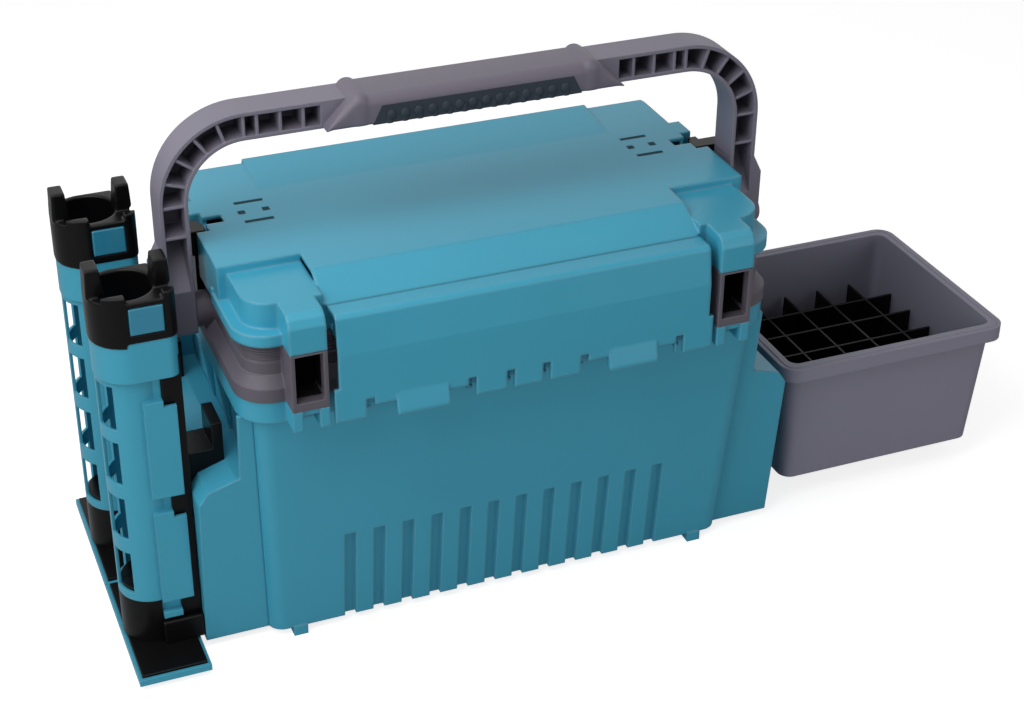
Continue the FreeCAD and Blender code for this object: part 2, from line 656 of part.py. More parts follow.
def lid_flange(bottom_z):
    """The rounded ledge round each front corner of the lid."""
    ring = rounded_block(-FLANGE_HALF, FLANGE_HALF, -LEDGE_DEEP, LEDGE_DEEP, RIM_CORNER_R, bottom_z,
                         bottom_z + FLANGE_THICK)
    keep = box(LOOP_OUTER_X - 2.0, FLANGE_HALF + 1.0, -LEDGE_DEEP - 1.0, FLANGE_BACK_Y, bottom_z,
               bottom_z + FLANGE_THICK)
    knob_place = FreeCAD.Vector(FLANGE_HALF - FLANGE_KNOB_R, FLANGE_BACK_Y, bottom_z)
    knob = Part.makeCylinder(FLANGE_KNOB_R, FLANGE_KNOB, knob_place)
    rear = box(LID_REAR_HALF - 2.0, FLANGE_HALF, FLANGE_BACK_Y, LID_DEEP, bottom_z, bottom_z + REAR_LEDGE)
    ledges = [ring.common(piece) for piece in both_sides(keep)]
    ledges += both_sides(knob)
    low_ring = rounded_block(-FLANGE_HALF + 2.0, FLANGE_HALF - 2.0, -LEDGE_DEEP, LID_DEEP, RIM_CORNER_R,
                             bottom_z,
                             bottom_z + REAR_LEDGE)
    return ledges + [low_ring.common(piece) for piece in both_sides(rear)]


def flap_arm(mid):
    """One lug on the lid's front that holds the flap's pin."""
    half = LID_ARM / 2
    eye = rod_x(mid - half, mid + half, FLAP_AXIS_Y, FLAP_AXIS_Z, FLAP_BARREL_R)
    front = FLAP_AXIS_Y - FLAP_BARREL_R
    low = FRAME_TOP_Z + SEAT_GAP
    upright = box(mid - half, mid + half, front, front + ARM_DEEP, low, FLAP_AXIS_Z)
    foot = box(mid - half, mid + half, front, LID_FRONT_Y + 1.0, low, low + ARM_FOOT)
    return join([eye, upright, foot])


def flap_arm_places():
    """The lid's lugs stand at both ends of every barrel of the flap."""
    places = []
    for mid in FLAP_BARREL_XS:
        reach = FLAP_BARREL_HALF + KNUCKLE_GAP + LID_ARM / 2
        places += [mid - reach, mid + reach]
    return places


def make_lid():
    """The lid: a ribbed shell with corner blocks, posts and a raised rear panel."""
    bottom = FRAME_TOP_Z + SEAT_GAP
    solid = [lid_shape(0.0, bottom)]
    solid += lid_posts(0.0, bottom + 0.5)
    solid += lid_flange(bottom)
    wedge = ((PANEL_START_Y, LID_TOP_Z - 1.0), (PANEL_START_Y, LID_TOP_Z),
             (LID_REAR_TOP_Y, LID_TOP_Z + PANEL_RISE),
             (LID_REAR_TOP_Y + 3.0, LID_TOP_Z - 3.0))
    solid.append(prism_yz(wedge, -PANEL_HALF, PANEL_HALF))
    lip = ((LID_FRONT_Y + 2.0, SLOPE_FRONT_Z - 2.0), (LID_FRONT_Y + 2.0, SLOPE_FRONT_Z + 1.4),
           (LID_FRONT_Y, SLOPE_FRONT_Z + 1.4), (SLOPE_FRONT_Y, SLOPE_FRONT_Z),
           (LID_FRONT_Y, SLOPE_FRONT_Z - 2.0))
    solid.append(prism_yz(lip, -FLAP_HALF_TOP, FLAP_HALF_TOP))
    solid += [flap_arm(mid) for mid in flap_arm_places()]
    for side in (-1.0, 1.0):
        mid = side * HINGE_MID_X
        half = LID_KNUCKLE / 2
        solid.append(rod_x(mid - half, mid + half, HINGE_Y, HINGE_Z, HINGE_R))
        solid.append(box(mid - half, mid + half, LID_DEEP - 1.0, HINGE_Y, bottom, HINGE_Z + HINGE_R - 0.6))
    lid = join(solid)
    hollow = lid_shape(LID_SKIN, bottom - 1.0)
    guard = box(NOTCH_INNER_X - LID_WALL, LID_HALF, NOTCH_FRONT_Y - LID_WALL, NOTCH_BACK_Y + LID_WALL,
                bottom - 2.0, LID_TOP_Z)
    ribs = []
    rib_low = LID_TOP_Z - LID_SKIN - LID_RIB_DEEP
    for x in LID_RIB_XS:
        ribs.append(box(x - LID_RIB / 2, x + LID_RIB / 2, -LID_DEEP, LID_DEEP, rib_low, LID_TOP_Z))
    for y in LID_RIB_YS:
        ribs.append(box(-LID_HALF, LID_HALF, y - LID_RIB / 2, y + LID_RIB / 2, rib_low, LID_TOP_Z))
    hollow = cut(hollow, both_sides(guard) + ribs)
    lid = lid.cut(hollow)
    tools = []
    slot_low = LID_TOP_Z - MARK_DEEP
    for y in SLOT_YS:
        tools.append(box(SLOT_MID_X - SLOT_LONG / 2, SLOT_MID_X + SLOT_LONG / 2, y - SLOT_WIDE / 2,
                         y + SLOT_WIDE / 2, slot_low, LID_TOP_Z + 1.0))
    for lean in (-1.0, 1.0):
        x = SLOT_MID_X + lean * SQUARE_SPREAD
        half = SQUARE_SIZE / 2
        tools.append(box(x - half, x + half, SQUARE_Y - half, SQUARE_Y + half, slot_low, LID_TOP_Z + 1.0))
    tools.append(box(NOTCH_INNER_X, LID_HALF + 2.0, NOTCH_FRONT_Y, NOTCH_BACK_Y, bottom - 1.0,
                     LID_TOP_Z + 1.0))
    tools.append(box(NOTCH_SLOT_X, NOTCH_INNER_X + 1.0, NOTCH_SLOT_YS[0], NOTCH_SLOT_YS[1],
                     LID_TOP_Z - NOTCH_SLOT_DEEP, LID_TOP_Z + 1.0))
    tools += [mirrored(tool) for tool in tools]
    for side in (-1.0, 1.0):
        mid = side * HINGE_MID_X
        tools.append(rod_x(mid - LID_KNUCKLE, mid + LID_KNUCKLE, HINGE_Y, HINGE_Z, HINGE_PIN_R + RUN_FIT))
    tools.append(rod_x(-FLAP_HALF_TOP, FLAP_HALF_TOP, FLAP_AXIS_Y, FLAP_AXIS_Z, FLAP_PIN_R))
    lid = cut(lid, tools)
    return lid


def flap_profile(low_z):
    """The side view of the flap: a short top, a leaning face and an upright face."""
    thick = FLAP_THICK
    front = LOOP_FRONT_Y
    return (
        (FLAP_BACK_Y, FLAP_TOP_Z),
        (FLAP_RIDGE_Y, FLAP_TOP_Z + 0.6),
        (FLAP_RIDGE_Y - 3.6, FLAP_TOP_Z - 2.4),
        (front, FLAP_FOLD_Z),
        (front, low_z),
        (front + thick, low_z),
        (front + thick, FLAP_FOLD_Z),
        (FLAP_RIDGE_Y - 0.2, FLAP_TOP_Z - 4.4),
        (FLAP_BACK_Y, FLAP_TOP_Z - thick),
    )


def make_front_flap():
    """The long buckle on the front, with raised stretches, notches and two finger tabs."""
    upper = prism_yz(flap_profile(FLAP_STEP_Z), -FLAP_HALF_TOP, FLAP_HALF_TOP)
    front = LOOP_FRONT_Y
    inner = front + FLAP_THICK
    lower = box(-FLAP_HALF_LOW, FLAP_HALF_LOW, front, inner, FLAP_LOW_Z, FLAP_STEP_Z)
    pieces = [upper, lower]
    for mid in FLAP_BARREL_XS:
        half = FLAP_BARREL_HALF
        barrel = rod_x(mid - half, mid + half, FLAP_AXIS_Y, FLAP_AXIS_Z, FLAP_BARREL_R)
        web = box(mid - half, mid + half, FLAP_AXIS_Y - 2.5, FLAP_AXIS_Y + 2.5, FLAP_AXIS_Z,
                  FLAP_TOP_Z - FLAP_THICK + 1.0)
        pieces += [barrel, web]
    flap = join(pieces)
    tools = []
    for x0, x1 in FLAP_RAISED_SPANS:
        tools.append(box(x0, x1, front - 1.0, inner + 1.0, FLAP_LOW_Z - 1.0, FLAP_HIGH_Z))
    for x in CATCH_XS:
        half = CATCH_NOTCH_WIDE / 2
        tools.append(box(x - half, x + half, front - 1.0, inner + 1.0, FLAP_LOW_Z - 1.0, CATCH_NOTCH_TOP_Z))
    flap = cut(flap, tools)
    tabs = []
    for x0, x1 in TAB_SPANS:
        side = ((inner, TAB_TOP_Z), (front, TAB_TOP_Z), (front - TAB_OUT, TAB_LOW_Z + 3.0),
                (front - TAB_OUT, TAB_LOW_Z), (inner, TAB_LOW_Z))
        tabs.append(prism_yz(side, x0, x1))
    flap = join([flap] + tabs)
    for mid in FLAP_BARREL_XS:
        reach = FLAP_BARREL_HALF + 1.0
        flap = flap.cut(rod_x(mid - reach, mid + reach, FLAP_AXIS_Y, FLAP_AXIS_Z, FLAP_PIN_R + RUN_FIT))
    return flap


def make_flap_pin():
    """The long rod on which the flap swings."""
    reach = max(flap_arm_places()) + LID_ARM / 2
    return rod_x(-reach, reach, FLAP_AXIS_Y, FLAP_AXIS_Z, FLAP_PIN_R)


def leg_inner_x():
    """The inner face of the handle's legs."""
    return HANDLE_HALF - HANDLE_BAND


def handle_outline(inset, low_z):
    """The outline of an upside-down U whose outside is drawn in by inset, as a face in XZ."""
    half = HANDLE_HALF - inset
    top = HANDLE_TOP_Z - inset
    radius = HANDLE_BEND_R - inset
    middle_x = HANDLE_HALF - HANDLE_BEND_R
    middle_z = HANDLE_TOP_Z - HANDLE_BEND_R
    y = HANDLE_FRONT_Y
    slant = math.sqrt(0.5) * radius
    left = FreeCAD.Vector(-half, y, low_z)
    left_up = FreeCAD.Vector(-half, y, middle_z)
    left_bend = FreeCAD.Vector(-middle_x - slant, y, middle_z + slant)
    left_top = FreeCAD.Vector(-middle_x, y, top)
    right_top = FreeCAD.Vector(middle_x, y, top)
    right_bend = FreeCAD.Vector(middle_x + slant, y, middle_z + slant)
    right_up = FreeCAD.Vector(half, y, middle_z)
    right = FreeCAD.Vector(half, y, low_z)
    edges = [
        Part.LineSegment(left, left_up).toShape(),
        Part.Arc(left_up, left_bend, left_top).toShape(),
        Part.LineSegment(left_top, right_top).toShape(),
        Part.Arc(right_top, right_bend, right_up).toShape(),
        Part.LineSegment(right_up, right).toShape(),
        Part.LineSegment(right, left).toShape(),
    ]
    return Part.Face(Part.Wire(edges))


def handle_band(outer_inset, inner_inset, low_z, y0, y1):
    """A U-shaped band between two insets, between two depths."""
    shift = FreeCAD.Vector(0, y0 - HANDLE_FRONT_Y, 0)
    deep = FreeCAD.Vector(0, y1 - y0, 0)
    outer = handle_outline(outer_inset, low_z).translated(shift).extrude(deep)
    inner = handle_outline(inner_inset, low_z - 1.0).translated(shift).extrude(deep)
    return outer.cut(inner)


def handle_ribs():
    """The cross ribs that stiffen the handle's open channel."""
    ribs = []
    y0 = HANDLE_FRONT_Y + 1.0
    y1 = HANDLE_BACK_Y
    middle_x = HANDLE_HALF - HANDLE_BEND_R
    middle_z = HANDLE_TOP_Z - HANDLE_BEND_R
    half = HANDLE_RIB / 2
    low = HANDLE_TOP_Z - HANDLE_BAND + 1.0
    high = HANDLE_TOP_Z - 1.0
    straight = int((middle_x - HANDLE_RIB_X_IN) // HANDLE_RIB_PITCH) + 1
    for index in range(straight):
        x = HANDLE_RIB_X_IN + index * HANDLE_RIB_PITCH
        ribs.append(box(x - half, x + half, y0, y1, low, high))
    bend = HANDLE_BEND_R - HANDLE_BAND / 2
    turns = round(bend * math.pi / 2 / HANDLE_RIB_PITCH)
    for index in range(turns + 1):
        angle = 90.0 - index * 90.0 / turns
        rib = box(HANDLE_BEND_R - HANDLE_BAND + 1.0, HANDLE_BEND_R - 1.0, y0, y1, -half, half)
        rib.rotate(FreeCAD.Vector(0, 0, 0), FreeCAD.Vector(0, 1, 0), -angle)
        ribs.append(rib.translated(FreeCAD.Vector(middle_x, 0, middle_z)))
    z = middle_z - HANDLE_LEG_RIB_PITCH
    while z > FLARE_TOP_Z:
        ribs.append(box(leg_inner_x() + 1.0, HANDLE_HALF - 1.0, y0, y1, z - half, z + half))
        z -= HANDLE_LEG_RIB_PITCH
    return ribs


def handle_foot():
    """The flared lower end of the right leg, rounded about its pivot."""
    inner = leg_inner_x()
    flare = prism_xz(((inner, PIVOT_Z), (FLARE_OUTER_X, PIVOT_Z), (FLARE_OUTER_X, FLARE_TOP_Z),
                      (HANDLE_HALF, FLARE_BLEND_Z), (inner, FLARE_BLEND_Z)), HANDLE_FRONT_Y, HANDLE_BACK_Y)
    round_end = rod_x(inner, FLARE_OUTER_X, PIVOT_Y, PIVOT_Z, PIVOT_FOOT_R)
    slab = box(inner, FLARE_OUTER_X, HANDLE_FRONT_Y, HANDLE_BACK_Y, PIVOT_Z - PIVOT_FOOT_R, PIVOT_Z + 1.0)
    return join([flare, round_end.common(slab)])


def whole_handle():
    """The U-shaped carry handle: an open, ribbed channel on two pivots."""
    low = PIVOT_Z
    band = handle_band(0.0, HANDLE_BAND, low, HANDLE_FRONT_Y, HANDLE_BACK_Y)
    channel = handle_band(HANDLE_FLANGE, HANDLE_BAND - HANDLE_FLANGE, low - 1.0, HANDLE_FRONT_Y - 1.0,
                          HANDLE_BACK_Y - HANDLE_WEB)
    body = band.cut(channel)
    pieces = [body]
    for rib in handle_ribs():
        pieces += both_sides(rib)
    pieces += both_sides(handle_foot())
    core = box(-GRIP_LOW_HALF, GRIP_LOW_HALF, HANDLE_FRONT_Y, HANDLE_BACK_Y, HANDLE_TOP_Z - HANDLE_BAND,
               HANDLE_TOP_Z)
    pieces.append(core)
    handle = join(pieces)
    bores = both_sides(rod_x(leg_inner_x() - 1.0, FLARE_OUTER_X + 1.0, PIVOT_Y, PIVOT_Z,
                             PIVOT_PIN_R + RUN_FIT))
    slope = ((HANDLE_FRONT_Y - 1.0, POCKET_LOW_Z), (HANDLE_FRONT_Y - 1.0, FLARE_BLEND_Z + 0.5),
             (HANDLE_BACK_Y - HANDLE_WEB, FLARE_BLEND_Z + 0.5))
    pocket = prism_yz(slope, leg_inner_x() + HANDLE_FLANGE, HANDLE_HALF - HANDLE_FLANGE)
    return cut(handle, bores + both_sides(pocket))


def save_handle():
    """The handle's bow, and its two feet below the flare's upper end."""
    handle = whole_handle()
    zone = box(leg_inner_x() - 1.0, FLARE_OUTER_X + 1.0, HANDLE_FRONT_Y - 1.0, HANDLE_BACK_Y + 1.0,
               PIVOT_Z - PIVOT_FOOT_R - 1.0, FLARE_BLEND_Z)
    foot = handle.common(zone)
    save("handle", cut(handle, both_sides(zone)))
    save("handle_foot_right", foot)
    save("handle_foot_left", mirrored(foot))


def grip_outline(grow):
    """The front view of the grip: a long block with slanted ends."""
    low = GRIP_LOW_HALF + grow
    high = GRIP_TOP_HALF + grow
    return ((-low, GRIP_LOW_Z), (low, GRIP_LOW_Z), (high, GRIP_TOP_Z), (-high, GRIP_TOP_Z))


def insert_outline(grow):
    """The front view of the finger insert."""
    low = INSERT_LOW_HALF + grow
    high = INSERT_TOP_HALF + grow
    return ((-low, GRIP_LOW_Z - 1.0), (low, GRIP_LOW_Z - 1.0), (high, INSERT_TOP_Z + grow),
            (-high, INSERT_TOP_Z + grow))


def make_grip_cover():
    """The wide grip moulded over the middle of the handle."""
    block = prism_xz(grip_outline(0.0), GRIP_FRONT_Y, GRIP_BACK_Y)
    collar_x = GRIP_TOP_HALF
    collars = both_sides(box(collar_x, collar_x + GRIP_COLLAR, GRIP_FRONT_Y + 6.0, GRIP_BACK_Y,
                             GRIP_LOW_Z, GRIP_TOP_Z))
    block = join([block] + collars)
    core = box(-HANDLE_HALF, HANDLE_HALF, HANDLE_FRONT_Y, HANDLE_BACK_Y, HANDLE_TOP_Z - HANDLE_BAND - 5.0,
               HANDLE_TOP_Z)
    pocket = prism_xz(insert_outline(SLAT_FIT), GRIP_FRONT_Y - 1.0, GRIP_FRONT_Y + INSERT_DEEP)
    return cut(block, [core, pocket])


def make_grip_insert():
    """The dark rubber insert with finger bumps along its lower edge."""
    front = GRIP_FRONT_Y - INSERT_PROUD
    block = prism_xz(insert_outline(0.0), front, GRIP_FRONT_Y + INSERT_DEEP - SLAT_FIT)
    low = GRIP_LOW_Z + 0.2
    block = block.common(box(-GRIP_LOW_HALF, GRIP_LOW_HALF, front, GRIP_BACK_Y, low, GRIP_TOP_Z))
    bumps = []
    pitch = 2 * INSERT_TOP_HALF / BUMP_COUNT
    for index in range(BUMP_COUNT):
        x = -INSERT_TOP_HALF + pitch * (index + 0.5)
        spot = FreeCAD.Vector(x, front + BUMP_R - BUMP_PROUD, low)
        bumps.append(Part.makeCylinder(BUMP_R, BUMP_TALL, spot))
    return join([block] + bumps)


def make_handle_pin():
    """The right pivot pin with its head."""
    head_x = FLARE_OUTER_X + KNUCKLE_GAP
    shaft = rod_x(FRAME_OPEN_HALF + 0.5, head_x + PIVOT_HEAD, PIVOT_Y, PIVOT_Z, PIVOT_PIN_R)
    head = rod_x(head_x, head_x + PIVOT_HEAD, PIVOT_Y, PIVOT_Z, PIVOT_HEAD_R)
    return join([shaft, head])


def make_stopper():
    """The right black stopper that keeps the handle from falling backwards."""
    front = HANDLE_BACK_Y + STOP_GAP
    ledge_half = LEDGE_HALF - LEDGE_SLOPE
    foot = box(ledge_half, STOP_FOOT_OUTER_X, front, STOP_BACK_Y, LEDGE_TOP_Z, STOP_TOP_Z)
    slope = prism_xz(((ledge_half, LEDGE_TOP_Z + 0.1), (LEDGE_HALF, LEDGE_FACE_Z + 0.1),
                      (LEDGE_HALF, LEDGE_TOP_Z + 0.1)),
                     front, STOP_BACK_Y)
    arm = box(STOP_INNER_X, STOP_OUTER_X, front, STOP_BACK_Y - 6.0, STOP_ARM_Z, STOP_TOP_Z)
    inner = box(BAND_HALF + 0.1, ledge_half + 1.0, front, STOP_BACK_Y, FRAME_TOP_Z + 1.0, STOP_TOP_Z)
    return join([foot, slope, arm, inner])


def stand_box(middle, x0, x1, front, back, z0, z1):
    """A block placed by its distances in front of and behind a stand's middle."""
    return box(x0, x1, middle - front, middle + back, z0, z1)


def collar_plan(middle, inset, z0, z1):
    """The rod stand's head: round on the left, square with one cut corner on the right."""
    left = COLLAR_LEFT_X + inset
    right = COLLAR_RIGHT_X - inset
    front = middle - COLLAR_FRONT + inset
    back = middle + COLLAR_BACK - inset
    body = rounded_block(left, right, front, back, 9.0, z0, z1)
    radius = COLLAR_ROUND_R - inset
    arch = rounded_block(left, right + 2 * radius, front, back, radius, z0, z1)
    body = body.common(arch)
    corner = ((COLLAR_CUT_X - inset, middle + COLLAR_CUT_Y), (right, middle + COLLAR_CUT_FRONT_Y),
              (right + 30.0, middle + COLLAR_CUT_FRONT_Y), (right + 30.0, back + 30.0),
              (COLLAR_CUT_X - inset, back + 30.0))
    return body.cut(prism_xy(corner, z0 - 1.0, z1 + 1.0))


def ring_sector(middle, z0, z1, start, end):
    """A wedge of the tube's wall, used to cut one window."""
    points = [(TUBE_X, middle)]
    for angle in (start, (start + end) / 2, end):
        turn = math.radians(angle)
        points.append((TUBE_X + 2 * TUBE_R * math.cos(turn), middle + 2 * TUBE_R * math.sin(turn)))
    return prism_xy(points, z0, z1)


def flat_bore(middle, wall, z0, z1):
    """The hollow of a rod tube, flat on the side that faces the rail."""
    spot = FreeCAD.Vector(TUBE_X, middle, z0)
    hole = Part.makeCylinder(TUBE_R - wall, z1 - z0, spot)
    flat = RAIL_OUTER_X - TONGUE_OUT - SLIDE_GAP - wall
    return hole.common(stand_box(middle, TUBE_X - TUBE_R, flat, TUBE_R, TUBE_R, z0, z1))


def make_stand_tube(middle):
    """The blue rod tube with windows, mounting block, knuckles and head ring."""
    spot = FreeCAD.Vector(TUBE_X, middle, TUBE_LOW_Z)
    tube = Part.makeCylinder(TUBE_R, RING_LOW_Z - TUBE_LOW_Z + 1.0, spot)
    ring = collar_plan(middle, RING_INSET, RING_LOW_Z, RING_TOP_Z)
    plate_x = RAIL_OUTER_X - SLIDE_GAP
    block = stand_box(middle, BLOCK_LEFT_X, plate_x, BLOCK_FRONT, BLOCK_REAR, BLOCK_BOTTOM_Z,
                      RING_LOW_Z + 1.0)
    pieces = [tube, ring, block]
    front = RAIL_FRONT + SLIDE_GAP
    for low, high in COVER_SPANS:
        pieces.append(stand_box(middle, BLOCK_LEFT_X, COVER_RIGHT_X, front + COVER_THICK, -front, low, high))
    for low in EAR_ZS:
        pieces.append(stand_box(middle, BLOCK_LEFT_X, plate_x, front + COVER_THICK, -BLOCK_FRONT + 1.0, low,
                                low + EAR_TALL))
    for low, high in COVER_SPANS:
        pieces.append(stand_box(middle, BLOCK_LEFT_X, plate_x, front + 1.0, -BLOCK_FRONT + 1.0, low, high))
    tube = join(pieces)
    round_low = RAIL_TOP_Z + TUBE_WALL
    round_spot = FreeCAD.Vector(TUBE_X, middle, round_low)
    tools = [Part.makeCylinder(TUBE_R - TUBE_WALL, RING_TOP_Z - round_low + 1.0, round_spot)]
    tools.append(flat_bore(middle, TUBE_WALL, TUBE_LOW_Z - 1.0, round_low + 1.0))
    tools.append(stand_box(middle, plate_x, TUBE_X + TUBE_R + 1.0, TUBE_R, TUBE_R, TUBE_LOW_Z - 1.0,
                           RING_LOW_Z))
    slot_x = RAIL_OUTER_X - TONGUE_OUT - SLIDE_GAP
    slot = TONGUE_WIDE / 2 + SLIDE_GAP
    tools.append(stand_box(middle, slot_x, plate_x + 1.0, slot, slot, BLOCK_BOTTOM_Z - 1.0,
                           TONGUE_TOP_Z + SLIDE_GAP))
    rail_room = stand_box(middle, plate_x, RAIL_INNER_X + 9.0, RAIL_FRONT + 1.0, -RAIL_SLIM_BACK + 2.0,
                          RING_LOW_Z - 1.0, RAIL_TOP_Z + SLIDE_GAP)
    tools.append(rail_room)
    for z in WINDOW_ZS:
        low, high = z - WINDOW_TALL / 2, z + WINDOW_TALL / 2
        tools.append(ring_sector(middle, low, high, WINDOW_START_DEG, WINDOW_END_DEG))
        tools.append(ring_sector(middle, low, high, 360.0 - WINDOW_END_DEG, 360.0 - WINDOW_START_DEG))
    return cut(tube, tools)


def prong(x_outer, x_inner, middle, lean):
    """One tall prong of the crown, narrower at its top."""
    low, high = COLLAR_TOP_Z - 1.0, PRONG_TOP_Z
    outline = ((x_outer, low), (x_inner, low), (x_inner - lean, high), (x_outer + lean / 2, high))
    return prism_xz(outline, middle - PRONG_FRONT, middle + PRONG_BACK)


def make_collar(middle):
    """The black crown on top of a rod stand, with two tall prongs and two low bumps."""
    body = collar_plan(middle, 0.0, RING_TOP_Z, COLLAR_TOP_Z)
    drop = box(COLLAR_LEFT_X - 1.0, COLLAR_STEP_X, middle - 60.0, middle + 60.0, RING_TOP_Z - COLLAR_STEP,
               RING_TOP_Z)
    skirt = collar_plan(middle, 0.0, RING_TOP_Z - COLLAR_STEP, RING_TOP_Z).common(drop)
    skirt = skirt.cut(collar_plan(middle, RING_INSET, RING_TOP_Z - COLLAR_STEP - 1.0, RING_TOP_Z))
    left = prong(COLLAR_LEFT_X, COLLAR_LEFT_X + PRONG_OUT, middle, PRONG_TAPER)
    right = prong(COLLAR_RIGHT_X, COLLAR_RIGHT_X - PRONG_OUT, middle, -PRONG_TAPER)
    foot = stand_box(middle, COLLAR_RIGHT_X - 40.0, COLLAR_RIGHT_X + 10.0, 60.0, 60.0, 0.0, PRONG_CLEAR_Z)
    plan = collar_plan(middle, 0.0, RING_TOP_Z, PRONG_TOP_Z)
    right = join([right.cut(foot), right.common(foot).common(plan)])
    front = middle - COLLAR_FRONT
    front_left = box(COLLAR_LEFT_X + 9.0, BUTTON_MID_X - BUTTON_WIDE / 2 - 1.0, front - 1.0,
                     front + BUMP_DEEP,
                     COLLAR_TOP_Z - 1.0, BUMP_TOP_Z)
    front_right = box(BUTTON_MID_X + BUTTON_WIDE / 2 + 1.0, COLLAR_RIGHT_X, front - 1.0, front + BUMP_DEEP,
                      COLLAR_TOP_Z - 1.0, BUMP_TOP_Z)
    bumps = [plan.common(piece) for piece in (front_left, front_right)]
    spot = FreeCAD.Vector(TUBE_X, middle, RING_TOP_Z - 10.0)
    bore = Part.makeCylinder(TUBE_R - TUBE_WALL, COLLAR_TOP_Z - RING_TOP_Z + 10.0, spot)
    collar = join([body, skirt] + bumps).cut(bore)
    collar = join([collar, left, right])
    half = BUTTON_WIDE / 2 + BUTTON_GAP
    window = box(BUTTON_MID_X - half, BUTTON_MID_X + half, front - 1.0, front + BUTTON_LIP,
                 BUTTON_LOW_Z - BUTTON_GAP, BUTTON_TOP_Z + BUTTON_GAP)
    room = half + BUTTON_LIP
    chamber = box(BUTTON_MID_X - room, BUTTON_MID_X + room, front + BUTTON_LIP,
                  front + BUTTON_LIP + BUTTON_LONG + BUTTON_TRAVEL + 1.0,
                  BUTTON_LOW_Z - BUTTON_GAP - BUTTON_LIP, BUTTON_TOP_Z + BUTTON_GAP + BUTTON_LIP)
    return cut(collar, [window, chamber])


def make_button(middle):
    """The blue push button in the crown's window, held by a lip behind it."""
    front = middle - COLLAR_FRONT
    half = BUTTON_WIDE / 2
    face = box(BUTTON_MID_X - half, BUTTON_MID_X + half, front - BUTTON_PROUD,
               front + BUTTON_LIP + BUTTON_GAP,
               BUTTON_LOW_Z, BUTTON_TOP_Z)
    wide = half + BUTTON_LIP - BUTTON_GAP
    lip = box(BUTTON_MID_X - wide, BUTTON_MID_X + wide, front + BUTTON_LIP + BUTTON_GAP,
              front + BUTTON_LIP + BUTTON_GAP + 2.5, BUTTON_LOW_Z - BUTTON_LIP + BUTTON_GAP,
              BUTTON_TOP_Z + BUTTON_LIP - BUTTON_GAP)
    keep = BUTTON_MID_X + half - BUTTON_STEM
    stem = box(keep, keep + BUTTON_STEM, front + BUTTON_LIP, front + BUTTON_LIP + BUTTON_LONG,
               BUTTON_LOW_Z + 6.0, BUTTON_TOP_Z - 6.0)
    return join([face, lip, stem])


def make_end_cap(middle):
    """The black cap that closes the bottom of a rod tube."""
    spot = FreeCAD.Vector(TUBE_X, middle, PLATE_TOP_Z + SEAT_GAP)
    cap = Part.makeCylinder(TUBE_R, TUBE_LOW_Z - PLATE_TOP_Z - SEAT_GAP, spot)
    room_x = BLOCK_LEFT_X - SLIDE_GAP
    tools = [stand_box(middle, room_x, RAIL_INNER_X, TUBE_R, TUBE_R, BLOCK_BOTTOM_Z - SLIDE_GAP,
                       TUBE_LOW_Z + 1.0)]
    tools.append(stand_box(middle, RAIL_OUTER_X - SLIDE_GAP, RAIL_INNER_X, TUBE_R, TUBE_R, 0.0,
                           BLOCK_BOTTOM_Z))
    slot = TONGUE_WIDE / 2 + SLIDE_GAP
    tools.append(stand_box(middle, RAIL_OUTER_X - TONGUE_OUT - SLIDE_GAP, RAIL_INNER_X, slot, slot, 0.0,
                           BLOCK_BOTTOM_Z))
    cap = cut(cap, tools).fuse(flat_bore(middle, TUBE_WALL, TUBE_LOW_Z - 1.0, TUBE_LOW_Z + CAP_PLUG))
    hollow = flat_bore(middle, 2 * TUBE_WALL, 0.0, BLOCK_BOTTOM_Z - TUBE_WALL - SLIDE_GAP)
    return cap.cut(hollow)


def make_bracket(middle):
    """The black L of a rod stand: an upright rail with a tongue, and a base plate."""
    outer, inner = RAIL_OUTER_X, RAIL_INNER_X
    rail = stand_box(middle, outer, inner, RAIL_FRONT, RAIL_BACK, PLATE_TOP_Z - 1.0, RAIL_SLIM_Z)
    slim = stand_box(middle, outer, inner, RAIL_FRONT, RAIL_SLIM_BACK, RAIL_SLIM_Z - 1.0, RAIL_TOP_Z)
    tongue = stand_box(middle, outer - TONGUE_OUT, outer + 1.0, TONGUE_WIDE / 2, TONGUE_WIDE / 2,
                       TONGUE_LOW_Z,
                       TONGUE_TOP_Z)
    half = SHOE_LONG / 2
    plate = box(SHOE_OUTER_X + SHOE_LIP, SHOE_INNER_X - SHOE_LIP, middle - half + SHOE_LIP,
                middle + half - SHOE_LIP, SHOE_TOP_Z - 3.0, PLATE_TOP_Z)
    heel = stand_box(middle, outer, inner, RAIL_FRONT, RAIL_BACK, SHOE_TOP_Z, PLATE_TOP_Z)
    bracket = join([rail, slim, tongue, plate, heel])
    relief = stand_box(middle, outer + 3.0, inner - 3.0, RAIL_FRONT - 3.0, RAIL_BACK + 1.0,
                       PLATE_TOP_Z + 20.0,
                       SIDE_CHAMFER_Z - HOOK_POST)
    return bracket.cut(relief)


def make_shoe(middle):
    """The blue shoe under a stand's base plate."""
    half = SHOE_LONG / 2
    shoe = box(SHOE_OUTER_X, SHOE_INNER_X, middle - half, middle + half, SHOE_BOTTOM_Z, SHOE_TOP_Z)
    lip = SHOE_LIP
    tray = box(SHOE_OUTER_X + lip, SHOE_INNER_X - lip, middle - half + lip, middle + half - lip,
               SHOE_TOP_Z - 3.0, SHOE_TOP_Z + 1.0)
    return shoe.cut(tray)


